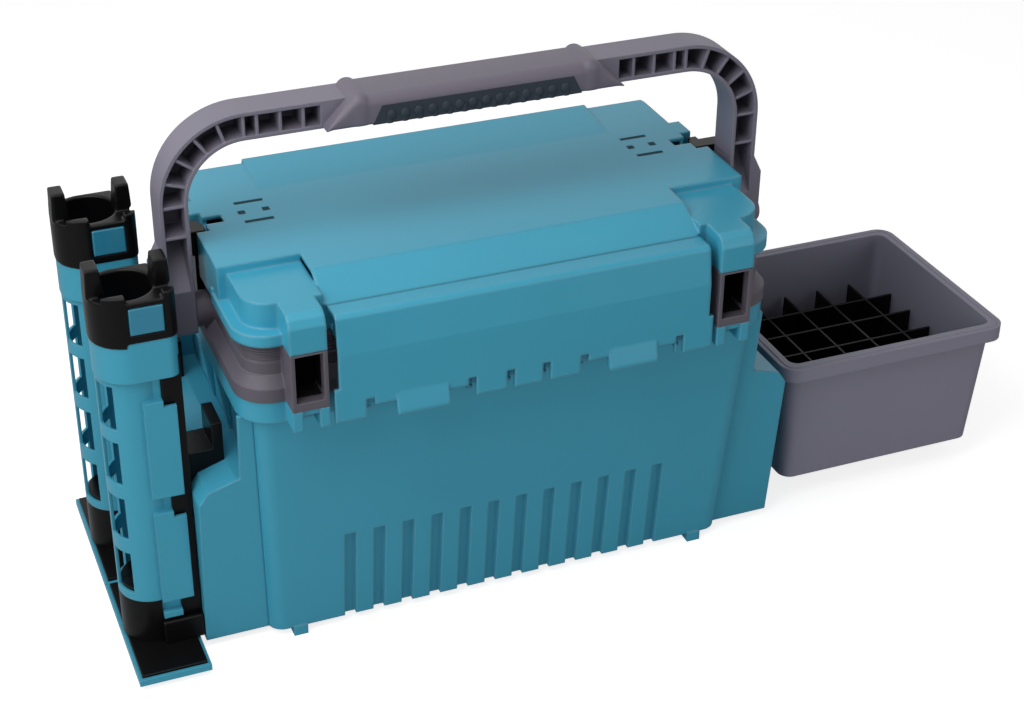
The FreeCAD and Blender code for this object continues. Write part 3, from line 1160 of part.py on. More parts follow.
def make_hook(middle):
    """The black hook by which a stand hangs over the tub's side box."""
    wide = HOOK_HALF_WIDE
    gap = HOOK_SEAT_GAP
    outline = ((RAIL_INNER_X, SIDE_SHOULDER_Z + 2 * gap),
               (-SIDE_HALF + SIDE_CHAMFER - gap, SIDE_CHAMFER_Z + gap),
               (HOOK_INNER_X, SIDE_TOP_Z), (HOOK_INNER_X, HOOK_TOP_Z + HOOK_TALL),
               (HOOK_INNER_X - HOOK_POST, HOOK_TOP_Z + HOOK_TALL), (HOOK_INNER_X - HOOK_POST, HOOK_TOP_Z),
               (RAIL_INNER_X, HOOK_TOP_Z))
    return prism_xz(outline, middle - wide, middle + wide)


def tray_section(z, inset):
    """The tray's plan at height z, drawn in by a wall and tapered towards the bottom."""
    share = (TRAY_TOP_Z - z) / (TRAY_TOP_Z - TRAY_BOTTOM_Z)
    draw = TRAY_LIP_OUT + inset + TRAY_TAPER * share
    return (TRAY_LEFT_X + draw, TRAY_LEFT_X + TRAY_LONG - draw, TRAY_FRONT_Y + draw,
            TRAY_FRONT_Y + TRAY_DEEP - draw, TRAY_CORNER_R - inset, z)


def make_tray():
    """The hanging side tray: tapered walls, a stepped lip and two hanging tongues."""
    body = rounded_taper(tray_section(TRAY_BOTTOM_Z, 0.0), tray_section(TRAY_TOP_Z, 0.0))
    lip = rounded_block(TRAY_LEFT_X, TRAY_LEFT_X + TRAY_LONG, TRAY_FRONT_Y, TRAY_FRONT_Y + TRAY_DEEP,
                        TRAY_CORNER_R + 4.0, TRAY_TOP_Z - TRAY_LIP, TRAY_TOP_Z)
    under = rounded_block(TRAY_LEFT_X + TRAY_WALL, TRAY_LEFT_X + TRAY_LONG - TRAY_WALL,
                          TRAY_FRONT_Y + TRAY_WALL, TRAY_FRONT_Y + TRAY_DEEP - TRAY_WALL, TRAY_CORNER_R + 1.0,
                          TRAY_TOP_Z - TRAY_LIP - 1.0, TRAY_TOP_Z - TRAY_WALL)
    pieces = [body, lip.cut(under)]
    tongue_x = HANGER_FACE_X + HANGER_BACK + HANG_GAP
    for y in TRAY_TONGUE_YS:
        pieces.append(box(tongue_x, tongue_x + TONGUE_THICK, y - TRAY_TONGUE_WIDE / 2,
                          y + TRAY_TONGUE_WIDE / 2,
                          TONGUE_DROP_Z, TRAY_TOP_Z - 4.0))
    tray = join(pieces)
    floor = TRAY_BOTTOM_Z + TRAY_WALL
    cavity = rounded_taper(tray_section(floor, TRAY_WALL), tray_section(TRAY_TOP_Z + 0.01, TRAY_WALL))
    return tray.cut(cavity)


def make_hanger():
    """The bracket on the tub's right side whose pockets take the tray's tongues."""
    face, back = HANGER_FACE_X, HANGER_FACE_X + HANGER_BACK
    y0 = TRAY_TONGUE_YS[0] - TRAY_TONGUE_WIDE / 2 - HANG_GAP - HANGER_LIP
    y1 = TRAY_TONGUE_YS[1] + TRAY_TONGUE_WIDE / 2 + HANG_GAP + HANGER_LIP
    pieces = [box(face, back, y0, y1, HANGER_LOW_Z, HANGER_TOP_Z)]
    room = TONGUE_THICK + 2 * HANG_GAP
    for y in TRAY_TONGUE_YS:
        half = TRAY_TONGUE_WIDE / 2 + HANG_GAP
        pocket = box(back - 1.0, back + room + HANGER_LIP, y - half - HANGER_LIP, y + half + HANGER_LIP,
                     HANGER_LOW_Z, HANGER_LIP_TOP_Z)
        space = box(back, back + room, y - half, y + half, TONGUE_DROP_Z - HANG_GAP, HANGER_LIP_TOP_Z + 1.0)
        pieces.append(pocket.cut(space))
    return join(pieces)


def slat_places():
    """The X of each cross slat and the Y of each long slat."""
    xs = [SLAT_FIRST_X + index * SLAT_PITCH_X for index in range(SLAT_COUNT)]
    ys = [SLAT_FIRST_Y + index * SLAT_PITCH_Y for index in range(SLAT_COUNT)]
    return xs, ys


def make_long_slats():
    """The slats along X, notched from below where the cross slats pass."""
    xs, ys = slat_places()
    low = TRAY_BOTTOM_Z + TRAY_WALL + SLAT_FIT
    middle = (low + SLAT_TOP_Z) / 2
    section = tray_section(low, TRAY_WALL + SLAT_END_GAP)
    slats = []
    for y in ys:
        slat = box(section[0], section[1], y - SLAT_THICK / 2, y + SLAT_THICK / 2, low, SLAT_TOP_Z)
        notch = SLAT_THICK / 2 + SLAT_FIT
        notches = [box(x - notch, x + notch, y - 5.0, y + 5.0, low - 1.0, middle + SLAT_FIT) for x in xs]
        slats.append(cut(slat, notches))
    return Part.makeCompound(slats)


def make_cross_slats():
    """The slats along Y, notched from above where the long slats pass."""
    xs, ys = slat_places()
    low = TRAY_BOTTOM_Z + TRAY_WALL + SLAT_FIT
    middle = (low + SLAT_TOP_Z) / 2
    section = tray_section(low, TRAY_WALL + SLAT_END_GAP)
    slats = []
    for x in xs:
        slat = box(x - SLAT_THICK / 2, x + SLAT_THICK / 2, section[2], section[3], low, SLAT_TOP_Z)
        notch = SLAT_THICK / 2 + SLAT_FIT
        notches = [box(x - 5.0, x + 5.0, y - notch, y + notch, middle - SLAT_FIT,
                       SLAT_TOP_Z + 1.0) for y in ys]
        slats.append(cut(slat, notches))
    return Part.makeCompound(slats)


def save_stand(name, middle):
    """Write the pieces of one rod stand."""
    save(name + "_bracket", make_bracket(middle))
    save(name + "_shoe", make_shoe(middle))
    save(name + "_hook", make_hook(middle))
    save(name + "_tube", make_stand_tube(middle))
    save(name + "_collar", make_collar(middle))
    save(name + "_button", make_button(middle))
    save(name + "_end_cap", make_end_cap(middle))


def main():
    """Build every piece and write it to the parts folder."""
    os.makedirs("parts", exist_ok=True)
    save("tub", make_tub())
    side = make_side_box()
    save("side_box_right", side)
    save("side_box_left", mirrored(side))
    save("rim_frame", make_rim_frame())
    save("hinge_pins", make_hinge_pins())
    save("lid", make_lid())
    save("front_flap", make_front_flap())
    save("flap_pin", make_flap_pin())
    save_handle()
    save("grip_cover", make_grip_cover())
    save("grip_insert", make_grip_insert())
    pin = make_handle_pin()
    save("handle_pin_right", pin)
    save("handle_pin_left", mirrored(pin))
    stopper = make_stopper()
    save("stopper_right", stopper)
    save("stopper_left", mirrored(stopper))
    save_stand("front_stand", STAND_MID_Y)
    save_stand("rear_stand", STAND_MID_Y + STAND_PITCH)
    save("side_tray", make_tray())
    save("tray_hanger", make_hanger())
    save("long_slats", make_long_slats())
    save("cross_slats", make_cross_slats())


main()
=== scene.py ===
"""Looks of a fishing seat box with a carry handle, two rod stands and a hanging side tray.

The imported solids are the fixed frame. Every class below dresses one sub-assembly: it gives the carried
solids their moulded finish and adds the fine pieces that the solids leave out.
"""

import logging
import math
from dataclasses import dataclass, field
from enum import Enum
from typing import Callable, Iterable, Sequence

import bmesh
import bpy
from mathutils import Matrix, Vector


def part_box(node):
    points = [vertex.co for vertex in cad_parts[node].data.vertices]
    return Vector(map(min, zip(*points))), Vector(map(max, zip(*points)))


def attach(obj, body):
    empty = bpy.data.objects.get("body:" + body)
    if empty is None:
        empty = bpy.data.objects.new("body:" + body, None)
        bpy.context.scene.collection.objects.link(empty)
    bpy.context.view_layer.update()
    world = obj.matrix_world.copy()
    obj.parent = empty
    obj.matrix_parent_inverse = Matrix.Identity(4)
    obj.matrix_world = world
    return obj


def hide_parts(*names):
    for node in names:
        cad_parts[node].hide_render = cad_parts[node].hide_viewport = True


logging.basicConfig(level=logging.INFO, format="%(message)s")
LOG = logging.getLogger("seat_box")
MM = 0.001
DUST_SHARE = 0.35
GLOSS_WANDER = 0.16
STAND_MIDDLES = {"front_stand": -53.0, "rear_stand": 87.0}
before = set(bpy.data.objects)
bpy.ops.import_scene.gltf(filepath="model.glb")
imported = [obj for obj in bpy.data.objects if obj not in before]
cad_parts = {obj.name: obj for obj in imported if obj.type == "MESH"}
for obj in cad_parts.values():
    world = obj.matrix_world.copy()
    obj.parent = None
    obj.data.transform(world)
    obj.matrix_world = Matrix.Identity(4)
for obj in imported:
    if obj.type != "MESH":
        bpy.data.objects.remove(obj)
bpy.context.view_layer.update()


class Surface(Enum):
    """The kinds of surface a moulded piece can have."""

    SATIN = "satin"
    TEXTURED = "textured"
    RUBBER = "rubber"
    METAL = "metal"


def link(tree: bpy.types.NodeTree, source: bpy.types.NodeSocket, target: bpy.types.NodeSocket) -> None:
    """Join two sockets of a node tree."""
    tree.links.new(source, target)


def node(tree: bpy.types.NodeTree, kind: str, **values: object) -> bpy.types.Node:
    """Add a node and set its named inputs.

    Args:
        tree: The tree that takes the node.
        kind: Blender's name of the node type.
        **values: Input names, with underscores for spaces, and their values.

    Returns:
        The new node.
    """
    made = tree.nodes.new(kind)
    for name, value in values.items():
        made.inputs[name.replace("_", " ")].default_value = value
    return made


def maths(tree: bpy.types.NodeTree, operation: str, first: object,
          second: object = 0.0) -> bpy.types.NodeSocket:
    """Add a maths node whose inputs are numbers or sockets.

    Args:
        tree: The tree that takes the node.
        operation: Blender's name of the operation.
        first: A number or a socket.
        second: A number or a socket.

    Returns:
        The result's socket.
    """
    made = tree.nodes.new("ShaderNodeMath")
    made.operation = operation
    for index, value in enumerate((first, second)):
        if isinstance(value, bpy.types.NodeSocket):
            link(tree, value, made.inputs[index])
        else:
            made.inputs[index].default_value = float(value)
    return made.outputs[0]


def shader_group(
    name: str,
    inputs: Sequence[tuple[str, str, object]],
    outputs: Sequence[tuple[str, str]],
) -> tuple[bpy.types.NodeTree, bpy.types.Node, bpy.types.Node]:
    """Start a shader node group with named sockets.

    Args:
        name: The group's name.
        inputs: Name, socket type and default of each input.
        outputs: Name and socket type of each output.

    Returns:
        The tree, its input node and its output node.
    """
    tree = bpy.data.node_groups.new(name, "ShaderNodeTree")
    for label, kind, default in inputs:
        socket = tree.interface.new_socket(name=label, in_out="INPUT", socket_type=kind)
        socket.default_value = default
    for label, kind in outputs:
        tree.interface.new_socket(name=label, in_out="OUTPUT", socket_type=kind)
    return tree, tree.nodes.new("NodeGroupInput"), tree.nodes.new("NodeGroupOutput")


def grain_group() -> bpy.types.NodeTree:
    """The fine spark-eroded grain of moulded plastic, as a height.

    Returns:
        The group, with Size and Depth in and Height out.
    """
    tree, start, end = shader_group(
        "moulded_grain",
        [("Scale", "NodeSocketFloat", 900.0), ("Depth", "NodeSocketFloat", 1.0)],
        [("Height", "NodeSocketFloat")],
    )
    place = tree.nodes.new("ShaderNodeTexCoord")
    fine = node(tree, "ShaderNodeTexNoise", Detail=3.0, Roughness=0.6)
    link(tree, place.outputs["Object"], fine.inputs["Vector"])
    link(tree, start.outputs["Scale"], fine.inputs["Scale"])
    cells = node(tree, "ShaderNodeTexVoronoi", Randomness=1.0)
    cells.feature = "SMOOTH_F1"
    link(tree, place.outputs["Object"], cells.inputs["Vector"])
    link(tree, maths(tree, "MULTIPLY", start.outputs["Scale"], 1.7), cells.inputs["Scale"])
    both = maths(tree, "ADD", fine.outputs["Fac"], maths(tree, "MULTIPLY", cells.outputs["Distance"], 0.7))
    link(tree, maths(tree, "MULTIPLY", both, start.outputs["Depth"]), end.inputs["Height"])
    return tree


def tone_group() -> bpy.types.NodeTree:
    """Slow changes of tone and gloss: flow marks of the moulding and light dust.

    Returns:
        The group, with Colour, Dust, Amount and Gloss in and Colour and Roughness out.
    """
    tree, start, end = shader_group(
        "moulded_tone",
        [("Colour", "NodeSocketColor", (0.5, 0.5, 0.5, 1.0)),
         ("Dust", "NodeSocketColor", (0.6, 0.6, 0.6, 1.0)),
         ("Amount", "NodeSocketFloat", 0.1), ("Gloss", "NodeSocketFloat", 0.4)],
        [("Colour", "NodeSocketColor"), ("Roughness", "NodeSocketFloat")],
    )
    place = tree.nodes.new("ShaderNodeTexCoord")
    slow = node(tree, "ShaderNodeTexNoise", Scale=7.0, Detail=4.0, Roughness=0.55)
    link(tree, place.outputs["Object"], slow.inputs["Vector"])
    specks = node(tree, "ShaderNodeTexNoise", Scale=240.0, Detail=2.0, Roughness=0.7)
    link(tree, place.outputs["Object"], specks.inputs["Vector"])
    shade = tree.nodes.new("ShaderNodeHueSaturation")
    away = maths(tree, "SUBTRACT", slow.outputs["Fac"], 0.5)
    value = maths(tree, "MULTIPLY", away, start.outputs["Amount"])
    link(tree, maths(tree, "ADD", value, 1.0), shade.inputs["Value"])
    link(tree, start.outputs["Colour"], shade.inputs["Color"])
    upward = tree.nodes.new("ShaderNodeNewGeometry")
    part = tree.nodes.new("ShaderNodeSeparateXYZ")
    link(tree, upward.outputs["Normal"], part.inputs["Vector"])
    lying = maths(tree, "MULTIPLY", maths(tree, "MAXIMUM", part.outputs["Z"], 0.0), specks.outputs["Fac"])
    dusty = maths(tree, "MULTIPLY", lying, maths(tree, "MULTIPLY", start.outputs["Amount"], DUST_SHARE))
    blend = tree.nodes.new("ShaderNodeMix")
    blend.data_type = "RGBA"
    link(tree, dusty, blend.inputs["Factor"])
    link(tree, shade.outputs["Color"], blend.inputs["A"])
    link(tree, start.outputs["Dust"], blend.inputs["B"])
    link(tree, blend.outputs["Result"], end.inputs["Colour"])
    wander = maths(tree, "MULTIPLY", away, GLOSS_WANDER)
    link(tree, maths(tree, "ADD", start.outputs["Gloss"], wander), end.inputs["Roughness"])
    return tree


class Shop:
    """Keeps the shared node groups, so each is built once."""

    _groups: dict[str, bpy.types.NodeTree] = {}

    @classmethod
    def group(cls, name: str, maker: Callable[[], bpy.types.NodeTree]) -> bpy.types.NodeTree:
        """Give a shared group, built at its first use."""
        if name not in cls._groups:
            cls._groups[name] = maker()
        return cls._groups[name]


@dataclass(frozen=True)
class Finish:
    """One moulded or metal finish.

    Attributes:
        name: The material's name.
        colour: Its colour, linear.
        surface: The kind of surface.
        gloss: Its mean roughness.
        variation: How far the tone wanders.
        grain: Grain cells to the metre.
        depth: Height of the grain, in metres.
        rounding: Radius in metres by which corners look rounded.
        coat: Strength of a thin clear skin.
        shine: Strength of the mirror light, 0.5 for common plastic.
        edge: How much paler the edges are painted, a painted highlight along every rounded edge.
    """

    name: str
    colour: tuple[float, float, float]
    surface: Surface = Surface.SATIN
    gloss: float = 0.42
    variation: float = 0.12
    grain: float = 1400.0
    depth: float = 0.00003
    rounding: float = 0.0012
    coat: float = 0.0
    shine: float = 0.35
    edge: float = 0.8

    def build(self) -> bpy.types.Material:
        """Build the material once and give it back.

        Returns:
            The Blender material.
        """
        found = bpy.data.materials.get(self.name)
        if found is not None:
            return found
        made = bpy.data.materials.new(self.name)
        made.use_nodes = True
        tree = made.node_tree
        shader = tree.nodes["Principled BSDF"]
        shader.inputs["Metallic"].default_value = 1.0 if self.surface is Surface.METAL else 0.0
        shader.inputs["Coat Weight"].default_value = self.coat
        shader.inputs["Coat Roughness"].default_value = 0.25
        shader.inputs["IOR"].default_value = 1.48
        shader.inputs["Specular IOR Level"].default_value = self.shine
        tone = tree.nodes.new("ShaderNodeGroup")
        tone.node_tree = Shop.group("tone", tone_group)
        tone.inputs["Colour"].default_value = (*self.colour, 1.0)
        # A paler colour, used both for real dust and for the painted edge highlight.
        dust_and_highlight = tuple(min(1.0, 0.5 * part + 0.35) for part in self.colour)
        tone.inputs["Dust"].default_value = (*dust_and_highlight, 1.0)
        tone.inputs["Amount"].default_value = self.variation
        tone.inputs["Gloss"].default_value = self.gloss
        colour = tone.outputs["Colour"]
        link(tree, tone.outputs["Roughness"], shader.inputs["Roughness"])
        grain = tree.nodes.new("ShaderNodeGroup")
        grain.node_tree = Shop.group("grain", grain_group)
        grain.inputs["Scale"].default_value = self.grain
        grain.inputs["Depth"].default_value = 1.0
        bump = tree.nodes.new("ShaderNodeBump")
        bump.inputs["Distance"].default_value = self.depth
        bump.inputs["Strength"].default_value = 1.0
        link(tree, grain.outputs["Height"], bump.inputs["Height"])
        if self.rounding > 0.0:
            edge = tree.nodes.new("ShaderNodeBevel")
            edge.samples = 6
            edge.inputs["Radius"].default_value = self.rounding
            link(tree, edge.outputs["Normal"], bump.inputs["Normal"])
            # Painted highlight: the colour is lightened along every rounded edge, convex and concave alike.
            colour = self.painted_edge_highlight(tree, colour, edge.outputs["Normal"], dust_and_highlight)
        link(tree, colour, shader.inputs["Base Color"])
        link(tree, bump.outputs["Normal"], shader.inputs["Normal"])
        return made

    def painted_edge_highlight(self, tree: bpy.types.NodeTree, colour: bpy.types.NodeSocket, rounded: bpy.types.NodeSocket,
                 pale: tuple[float, ...]) -> bpy.types.NodeSocket:
        """Paint a highlight into the colour along the rounded edges, where the rounded normal turns away from
        the flat one.

        Args:
            tree: The material's tree.
            colour: The colour of the flat places.
            rounded: The normal of the rounded edges.
            pale: The colour of the painted highlight at its strongest, linear.

        Returns:
            The colour with its edges.
        """
        flat = tree.nodes.new("ShaderNodeNewGeometry")
        turn = tree.nodes.new("ShaderNodeVectorMath")
        turn.operation = "DOT_PRODUCT"
        link(tree, rounded, turn.inputs[0])
        link(tree, flat.outputs["Normal"], turn.inputs[1])
        share = maths(tree, "MULTIPLY", maths(tree, "SUBTRACT", 1.0, turn.outputs["Value"]), self.edge)
        mix = node(tree, "ShaderNodeMixRGB", Color2=(*pale, 1.0))
        link(tree, maths(tree, "MINIMUM", share, 1.0), mix.inputs["Fac"])
        link(tree, colour, mix.inputs["Color1"])
        return mix.outputs["Color"]


TEAL = Finish("teal_moulding", (0.048, 0.345, 0.495), gloss=0.33, variation=0.10, depth=0.00002,
              rounding=0.0036)
TEAL_TUB = Finish("teal_tub_moulding", (0.048, 0.335, 0.480), gloss=0.36, variation=0.10, depth=0.00002,
                  rounding=0.0026)
TEAL_STAND = Finish("teal_stand", (0.045, 0.330, 0.470), gloss=0.34, variation=0.10, depth=0.000015,
                    rounding=0.0012, coat=0.10)
# Near-black teal for the sheets that paint the shade inside the lid's slots and squares.
SLOT_SHADE = Finish("painted_slot_shade", (0.004, 0.030, 0.042), gloss=0.60, rounding=0.0, shine=0.10)
GREY = Finish("grey_handle_moulding", (0.178, 0.166, 0.214), Surface.TEXTURED, gloss=0.46, depth=0.00003,
              rounding=0.0014)
# The handle's grey, darkened as painted shade for the frame and its ridges under the lid's flange.
GREY_FRAME_SHADED = Finish("grey_frame_painted_shade", (0.105, 0.094, 0.118), Surface.TEXTURED, gloss=0.44, depth=0.00003,
                    rounding=0.0018)
TRAY = Finish("grey_tray_moulding", (0.240, 0.234, 0.302), Surface.TEXTURED, gloss=0.46, depth=0.00003,
              rounding=0.0016)
BLACK = Finish("black_moulding", (0.0035, 0.0033, 0.0036), gloss=0.27, variation=0.02, depth=0.00002,
               shine=0.16, rounding=0.0014, edge=0.3)
# Near-black for the sheets that paint the shade inside the frame's front loops.
LOOP_SHADE = Finish("painted_loop_shade", (0.002, 0.002, 0.002), gloss=0.80, rounding=0.0, shine=0.05)
GRIP = Finish("grip_moulding", (0.136, 0.122, 0.158), Surface.TEXTURED, gloss=0.46, depth=0.00005)
RUBBER = Finish("grip_rubber", (0.003, 0.007, 0.011), Surface.RUBBER, gloss=0.40, variation=0.02,
                depth=0.00004, shine=0.14, edge=0.2)
BUTTON = Finish("button_moulding", (0.026, 0.215, 0.330), gloss=0.16, variation=0.08, depth=0.00001,
                rounding=0.0016, coat=0.35)
STEEL = Finish("pin_steel", (0.62, 0.61, 0.60), Surface.METAL, gloss=0.30, rounding=0.0004)


def dress(names: Iterable[str], finish: Finish) -> None:
    """Give carried solids their finish.

    Args:
        names: Names of the solids.
        finish: The finish they take.
    """
    material = finish.build()
    for name in names:
        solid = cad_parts[name]
        solid.data.materials.clear()
        solid.data.materials.append(material)
        LOG.info("dressed %s in %s", name, finish.name)


def settle(piece: bpy.types.Object, finish: Finish, body: str, slot: str) -> bpy.types.Object:
    """Give a finished mesh its material and body.

    Args:
        piece: The mesh object, in place.
        finish: Its finish.
        body: The body it rides on.
        slot: Not used.

    Returns:
        The same object.
    """
    piece.data.materials.clear()
    piece.data.materials.append(finish.build())
    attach(piece, body)
    LOG.info("made %s on %s, %d faces", piece.name, body, len(piece.data.polygons))
    return piece


def linked(name: str, mesh: bpy.types.Mesh) -> bpy.types.Object:
    """Put a mesh into the scene as an object of its own."""
    made = bpy.data.objects.new(name, mesh)
    bpy.context.scene.collection.objects.link(made)
    return made


def place(mesh_name: str, build: Callable[[bmesh.types.BMesh], None], finish: Finish, body: str,
          slot: str) -> bpy.types.Object:
    """Make a mesh piece from bmesh code and let it ride on a body.

    Args:
        mesh_name: The piece's name.
        build: Code that fills the mesh, in metres.
        finish: The piece's finish.
        body: The body it rides on.
        slot: The record's material slot.

    Returns:
        The new object.
    """
    mesh = bpy.data.meshes.new(mesh_name)
    bm = bmesh.new()
    build(bm)
    bmesh.ops.recalc_face_normals(bm, faces=bm.faces)
    bm.to_mesh(mesh)
    bm.free()
    return settle(linked(mesh_name, mesh), finish, body, slot)


def block(bm: bmesh.types.BMesh, low: Sequence[float], high: Sequence[float], edge: float = 0.6,
          steps: int = 3) -> None:
    """Add a block with rounded edges.

    Args:
        bm: The mesh that takes it.
        low: Its lowest corner, in millimetres.
        high: Its highest corner, in millimetres.
        edge: Radius of its edges, in millimetres.
        steps: Facets across an edge.
    """
    size = [(b - a) * MM for a, b in zip(low, high)]
    middle = [(a + b) / 2 * MM for a, b in zip(low, high)]
    made = bmesh.ops.create_cube(bm, size=1.0)["verts"]
    bmesh.ops.scale(bm, verts=made, vec=size)
    bmesh.ops.translate(bm, verts=made, vec=middle)
    edges = list({item for vert in made for item in vert.link_edges})
    bmesh.ops.bevel(bm, geom=edges, offset=edge * MM, segments=steps, profile=0.5, affect="EDGES")


def dome(bm: bmesh.types.BMesh, centre: Sequence[float], radius: float, tall: float, axis: str = "Z",
         turn: float = 0.0) -> None:
    """Add a flattened dome, such as a rivet's or a screw's head.

    Args:
        bm: The mesh that takes it.
        centre: Middle of the dome, in millimetres.
        radius: Its radius, in millimetres.
        tall: How far it stands out to each side, in millimetres.
        axis: The axis it is flattened along.
        turn: Angle in degrees by which it is turned about that axis.
    """
    made = bmesh.ops.create_uvsphere(bm, u_segments=24, v_segments=12, radius=1.0)["verts"]
    bmesh.ops.scale(bm, verts=made, vec=(radius * MM, radius * MM, tall * MM))
    facing = {"X": Matrix.Rotation(math.pi / 2, 3, "Y"), "Y": Matrix.Rotation(math.pi / 2, 3, "X"),
              "Z": Matrix.Rotation(math.radians(turn), 3, "Z")}
    bmesh.ops.rotate(bm, verts=made, matrix=facing[axis])
    bmesh.ops.translate(bm, verts=made, vec=[part * MM for part in centre])


def baked(name: str, source: bpy.types.Object) -> bpy.types.Object:
    """Turn an object with modifiers into a plain mesh object and drop the source.

    Args:
        name: Name of the plain object.
        source: The object to evaluate.

    Returns:
        The plain object.
    """
    graph = bpy.context.evaluated_depsgraph_get()
    mesh = bpy.data.meshes.new_from_object(source.evaluated_get(graph))
    mesh.name = name
    for modifier in list(source.modifiers):
        source.modifiers.remove(modifier)
    bpy.data.objects.remove(source)
    return linked(name, mesh)


def softened(node_name: str, cell: float, rounds: int, finish: Finish, body: str,
             slot: str) -> bpy.types.Object:
    """Show a solid with its edges rounded off, as the thick mouldings have them.

    Args:
        node_name: The solid that is replaced.
        cell: Size of the mesh cells, in millimetres.
        rounds: How often the cells are smoothed.
        finish: Its finish.
        body: The body it rides on.
        slot: The record's material slot.

    Returns:
        The object that is shown instead.
    """
    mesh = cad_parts[node_name].data.copy()
    bm = bmesh.new()
    bm.from_mesh(mesh)
    bmesh.ops.remove_doubles(bm, verts=bm.verts, dist=0.00001)
    bm.to_mesh(mesh)
    bm.free()
    source = linked(f"{node_name}_source", mesh)
    remesh = source.modifiers.new("cells", "REMESH")
    remesh.mode = "VOXEL"
    remesh.voxel_size = cell * MM
    remesh.use_smooth_shade = True
    smooth = source.modifiers.new("smooth", "SMOOTH")
    smooth.factor = 0.5
    smooth.iterations = rounds
    made = settle(baked(f"{node_name}_moulded", source), finish, body, slot)
    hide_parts(node_name)
    return made


def nodes_tree(name: str, sockets: Sequence[tuple[str, str]]) -> tuple[bpy.types.NodeTree, bpy.types.Node]:
    """Start a Geometry Nodes tree with named inputs.

    Args:
        name: The tree's name.
        sockets: Name and socket type of each input.

    Returns:
        The tree and its input node.
    """
    tree = bpy.data.node_groups.new(name, "GeometryNodeTree")
    for label, kind in sockets:
        tree.interface.new_socket(name=label, in_out="INPUT", socket_type=kind)
    tree.interface.new_socket(name="Geometry", in_out="OUTPUT", socket_type="NodeSocketGeometry")
    return tree, tree.nodes.new("NodeGroupInput")


def close_tree(tree: bpy.types.NodeTree, start: bpy.types.Node, geometry: bpy.types.NodeSocket) -> None:
    """End a tree with smooth shading, Realize Instances and Set Material."""
    smooth = tree.nodes.new("GeometryNodeSetShadeSmooth")
    real = tree.nodes.new("GeometryNodeRealizeInstances")
    paint = tree.nodes.new("GeometryNodeSetMaterial")
    end = tree.nodes.new("NodeGroupOutput")
    link(tree, geometry, real.inputs["Geometry"])
    link(tree, real.outputs["Geometry"], smooth.inputs["Geometry"])
    link(tree, smooth.outputs["Geometry"], paint.inputs["Geometry"])
    link(tree, start.outputs["Material"], paint.inputs["Material"])
    link(tree, paint.outputs["Geometry"], end.inputs["Geometry"])


def ridge_tree() -> bpy.types.NodeTree:
    """Stacked ridges that follow a rounded rectangle.

    Returns:
        The tree.
    """
    tree, start = nodes_tree("ridge_rings", [
        ("Width", "NodeSocketFloat"), ("Depth", "NodeSocketFloat"), ("Corner", "NodeSocketFloat"),
        ("Count", "NodeSocketInt"), ("First", "NodeSocketVector"), ("Step", "NodeSocketVector"),
        ("Wire", "NodeSocketFloat"), ("Material", "NodeSocketMaterial"),
    ])
    plan = tree.nodes.new("GeometryNodeCurvePrimitiveQuadrilateral")
    link(tree, start.outputs["Width"], plan.inputs["Width"])
    link(tree, start.outputs["Depth"], plan.inputs["Height"])
    bend = tree.nodes.new("GeometryNodeFilletCurve")
    bend.mode = "POLY"
    bend.inputs["Count"].default_value = 12
    link(tree, plan.outputs["Curve"], bend.inputs["Curve"])
    link(tree, start.outputs["Corner"], bend.inputs["Radius"])
    profile = tree.nodes.new("GeometryNodeCurvePrimitiveCircle")
    profile.inputs["Resolution"].default_value = 8
    link(tree, start.outputs["Wire"], profile.inputs["Radius"])
    ring = tree.nodes.new("GeometryNodeCurveToMesh")
    link(tree, bend.outputs["Curve"], ring.inputs["Curve"])
    link(tree, profile.outputs["Curve"], ring.inputs["Profile Curve"])
    spots = tree.nodes.new("GeometryNodeMeshLine")
    link(tree, start.outputs["Count"], spots.inputs["Count"])
    link(tree, start.outputs["First"], spots.inputs["Start Location"])
    link(tree, start.outputs["Step"], spots.inputs["Offset"])
    copies = tree.nodes.new("GeometryNodeInstanceOnPoints")
    link(tree, spots.outputs["Mesh"], copies.inputs["Points"])
    link(tree, ring.outputs["Mesh"], copies.inputs["Instance"])
    close_tree(tree, start, copies.outputs["Instances"])
    return tree


def row_tree() -> bpy.types.NodeTree:
    """A row of copies of a small moulded piece.

    Returns:
        The tree.
    """
    tree, start = nodes_tree("row_of_copies", [
        ("Piece", "NodeSocketObject"), ("Count", "NodeSocketInt"), ("First", "NodeSocketVector"),
        ("Step", "NodeSocketVector"), ("Material", "NodeSocketMaterial"),
    ])
    piece = tree.nodes.new("GeometryNodeObjectInfo")
    link(tree, start.outputs["Piece"], piece.inputs["Object"])
    spots = tree.nodes.new("GeometryNodeMeshLine")
    link(tree, start.outputs["Count"], spots.inputs["Count"])
    link(tree, start.outputs["First"], spots.inputs["Start Location"])
    link(tree, start.outputs["Step"], spots.inputs["Offset"])
    copies = tree.nodes.new("GeometryNodeInstanceOnPoints")
    link(tree, spots.outputs["Mesh"], copies.inputs["Points"])
    link(tree, piece.outputs["Geometry"], copies.inputs["Instance"])
    close_tree(tree, start, copies.outputs["Instances"])
    return tree


def grown(name: str, tree: bpy.types.NodeTree, values: dict[str, object], finish: Finish, body: str,
          slot: str) -> bpy.types.Object:
    """Run a Geometry Nodes tree and keep its result as a plain mesh.

    Args:
        name: Name of the piece.
        tree: The tree to run.
        values: The tree's inputs by name.
        finish: The piece's finish.
        body: The body it rides on.
        slot: The record's material slot.

    Returns:
        The new object.
    """
    source = linked(f"{name}_source", bpy.data.meshes.new(f"{name}_source"))
    modifier = source.modifiers.new("grow", "NODES")
    modifier.node_group = tree
    values = {**values, "Material": finish.build()}
    for item in tree.interface.items_tree:
        if item.item_type == "SOCKET" and item.in_out == "INPUT":
            modifier[item.identifier] = values[item.name]
    return settle(baked(name, source), finish, body, slot)


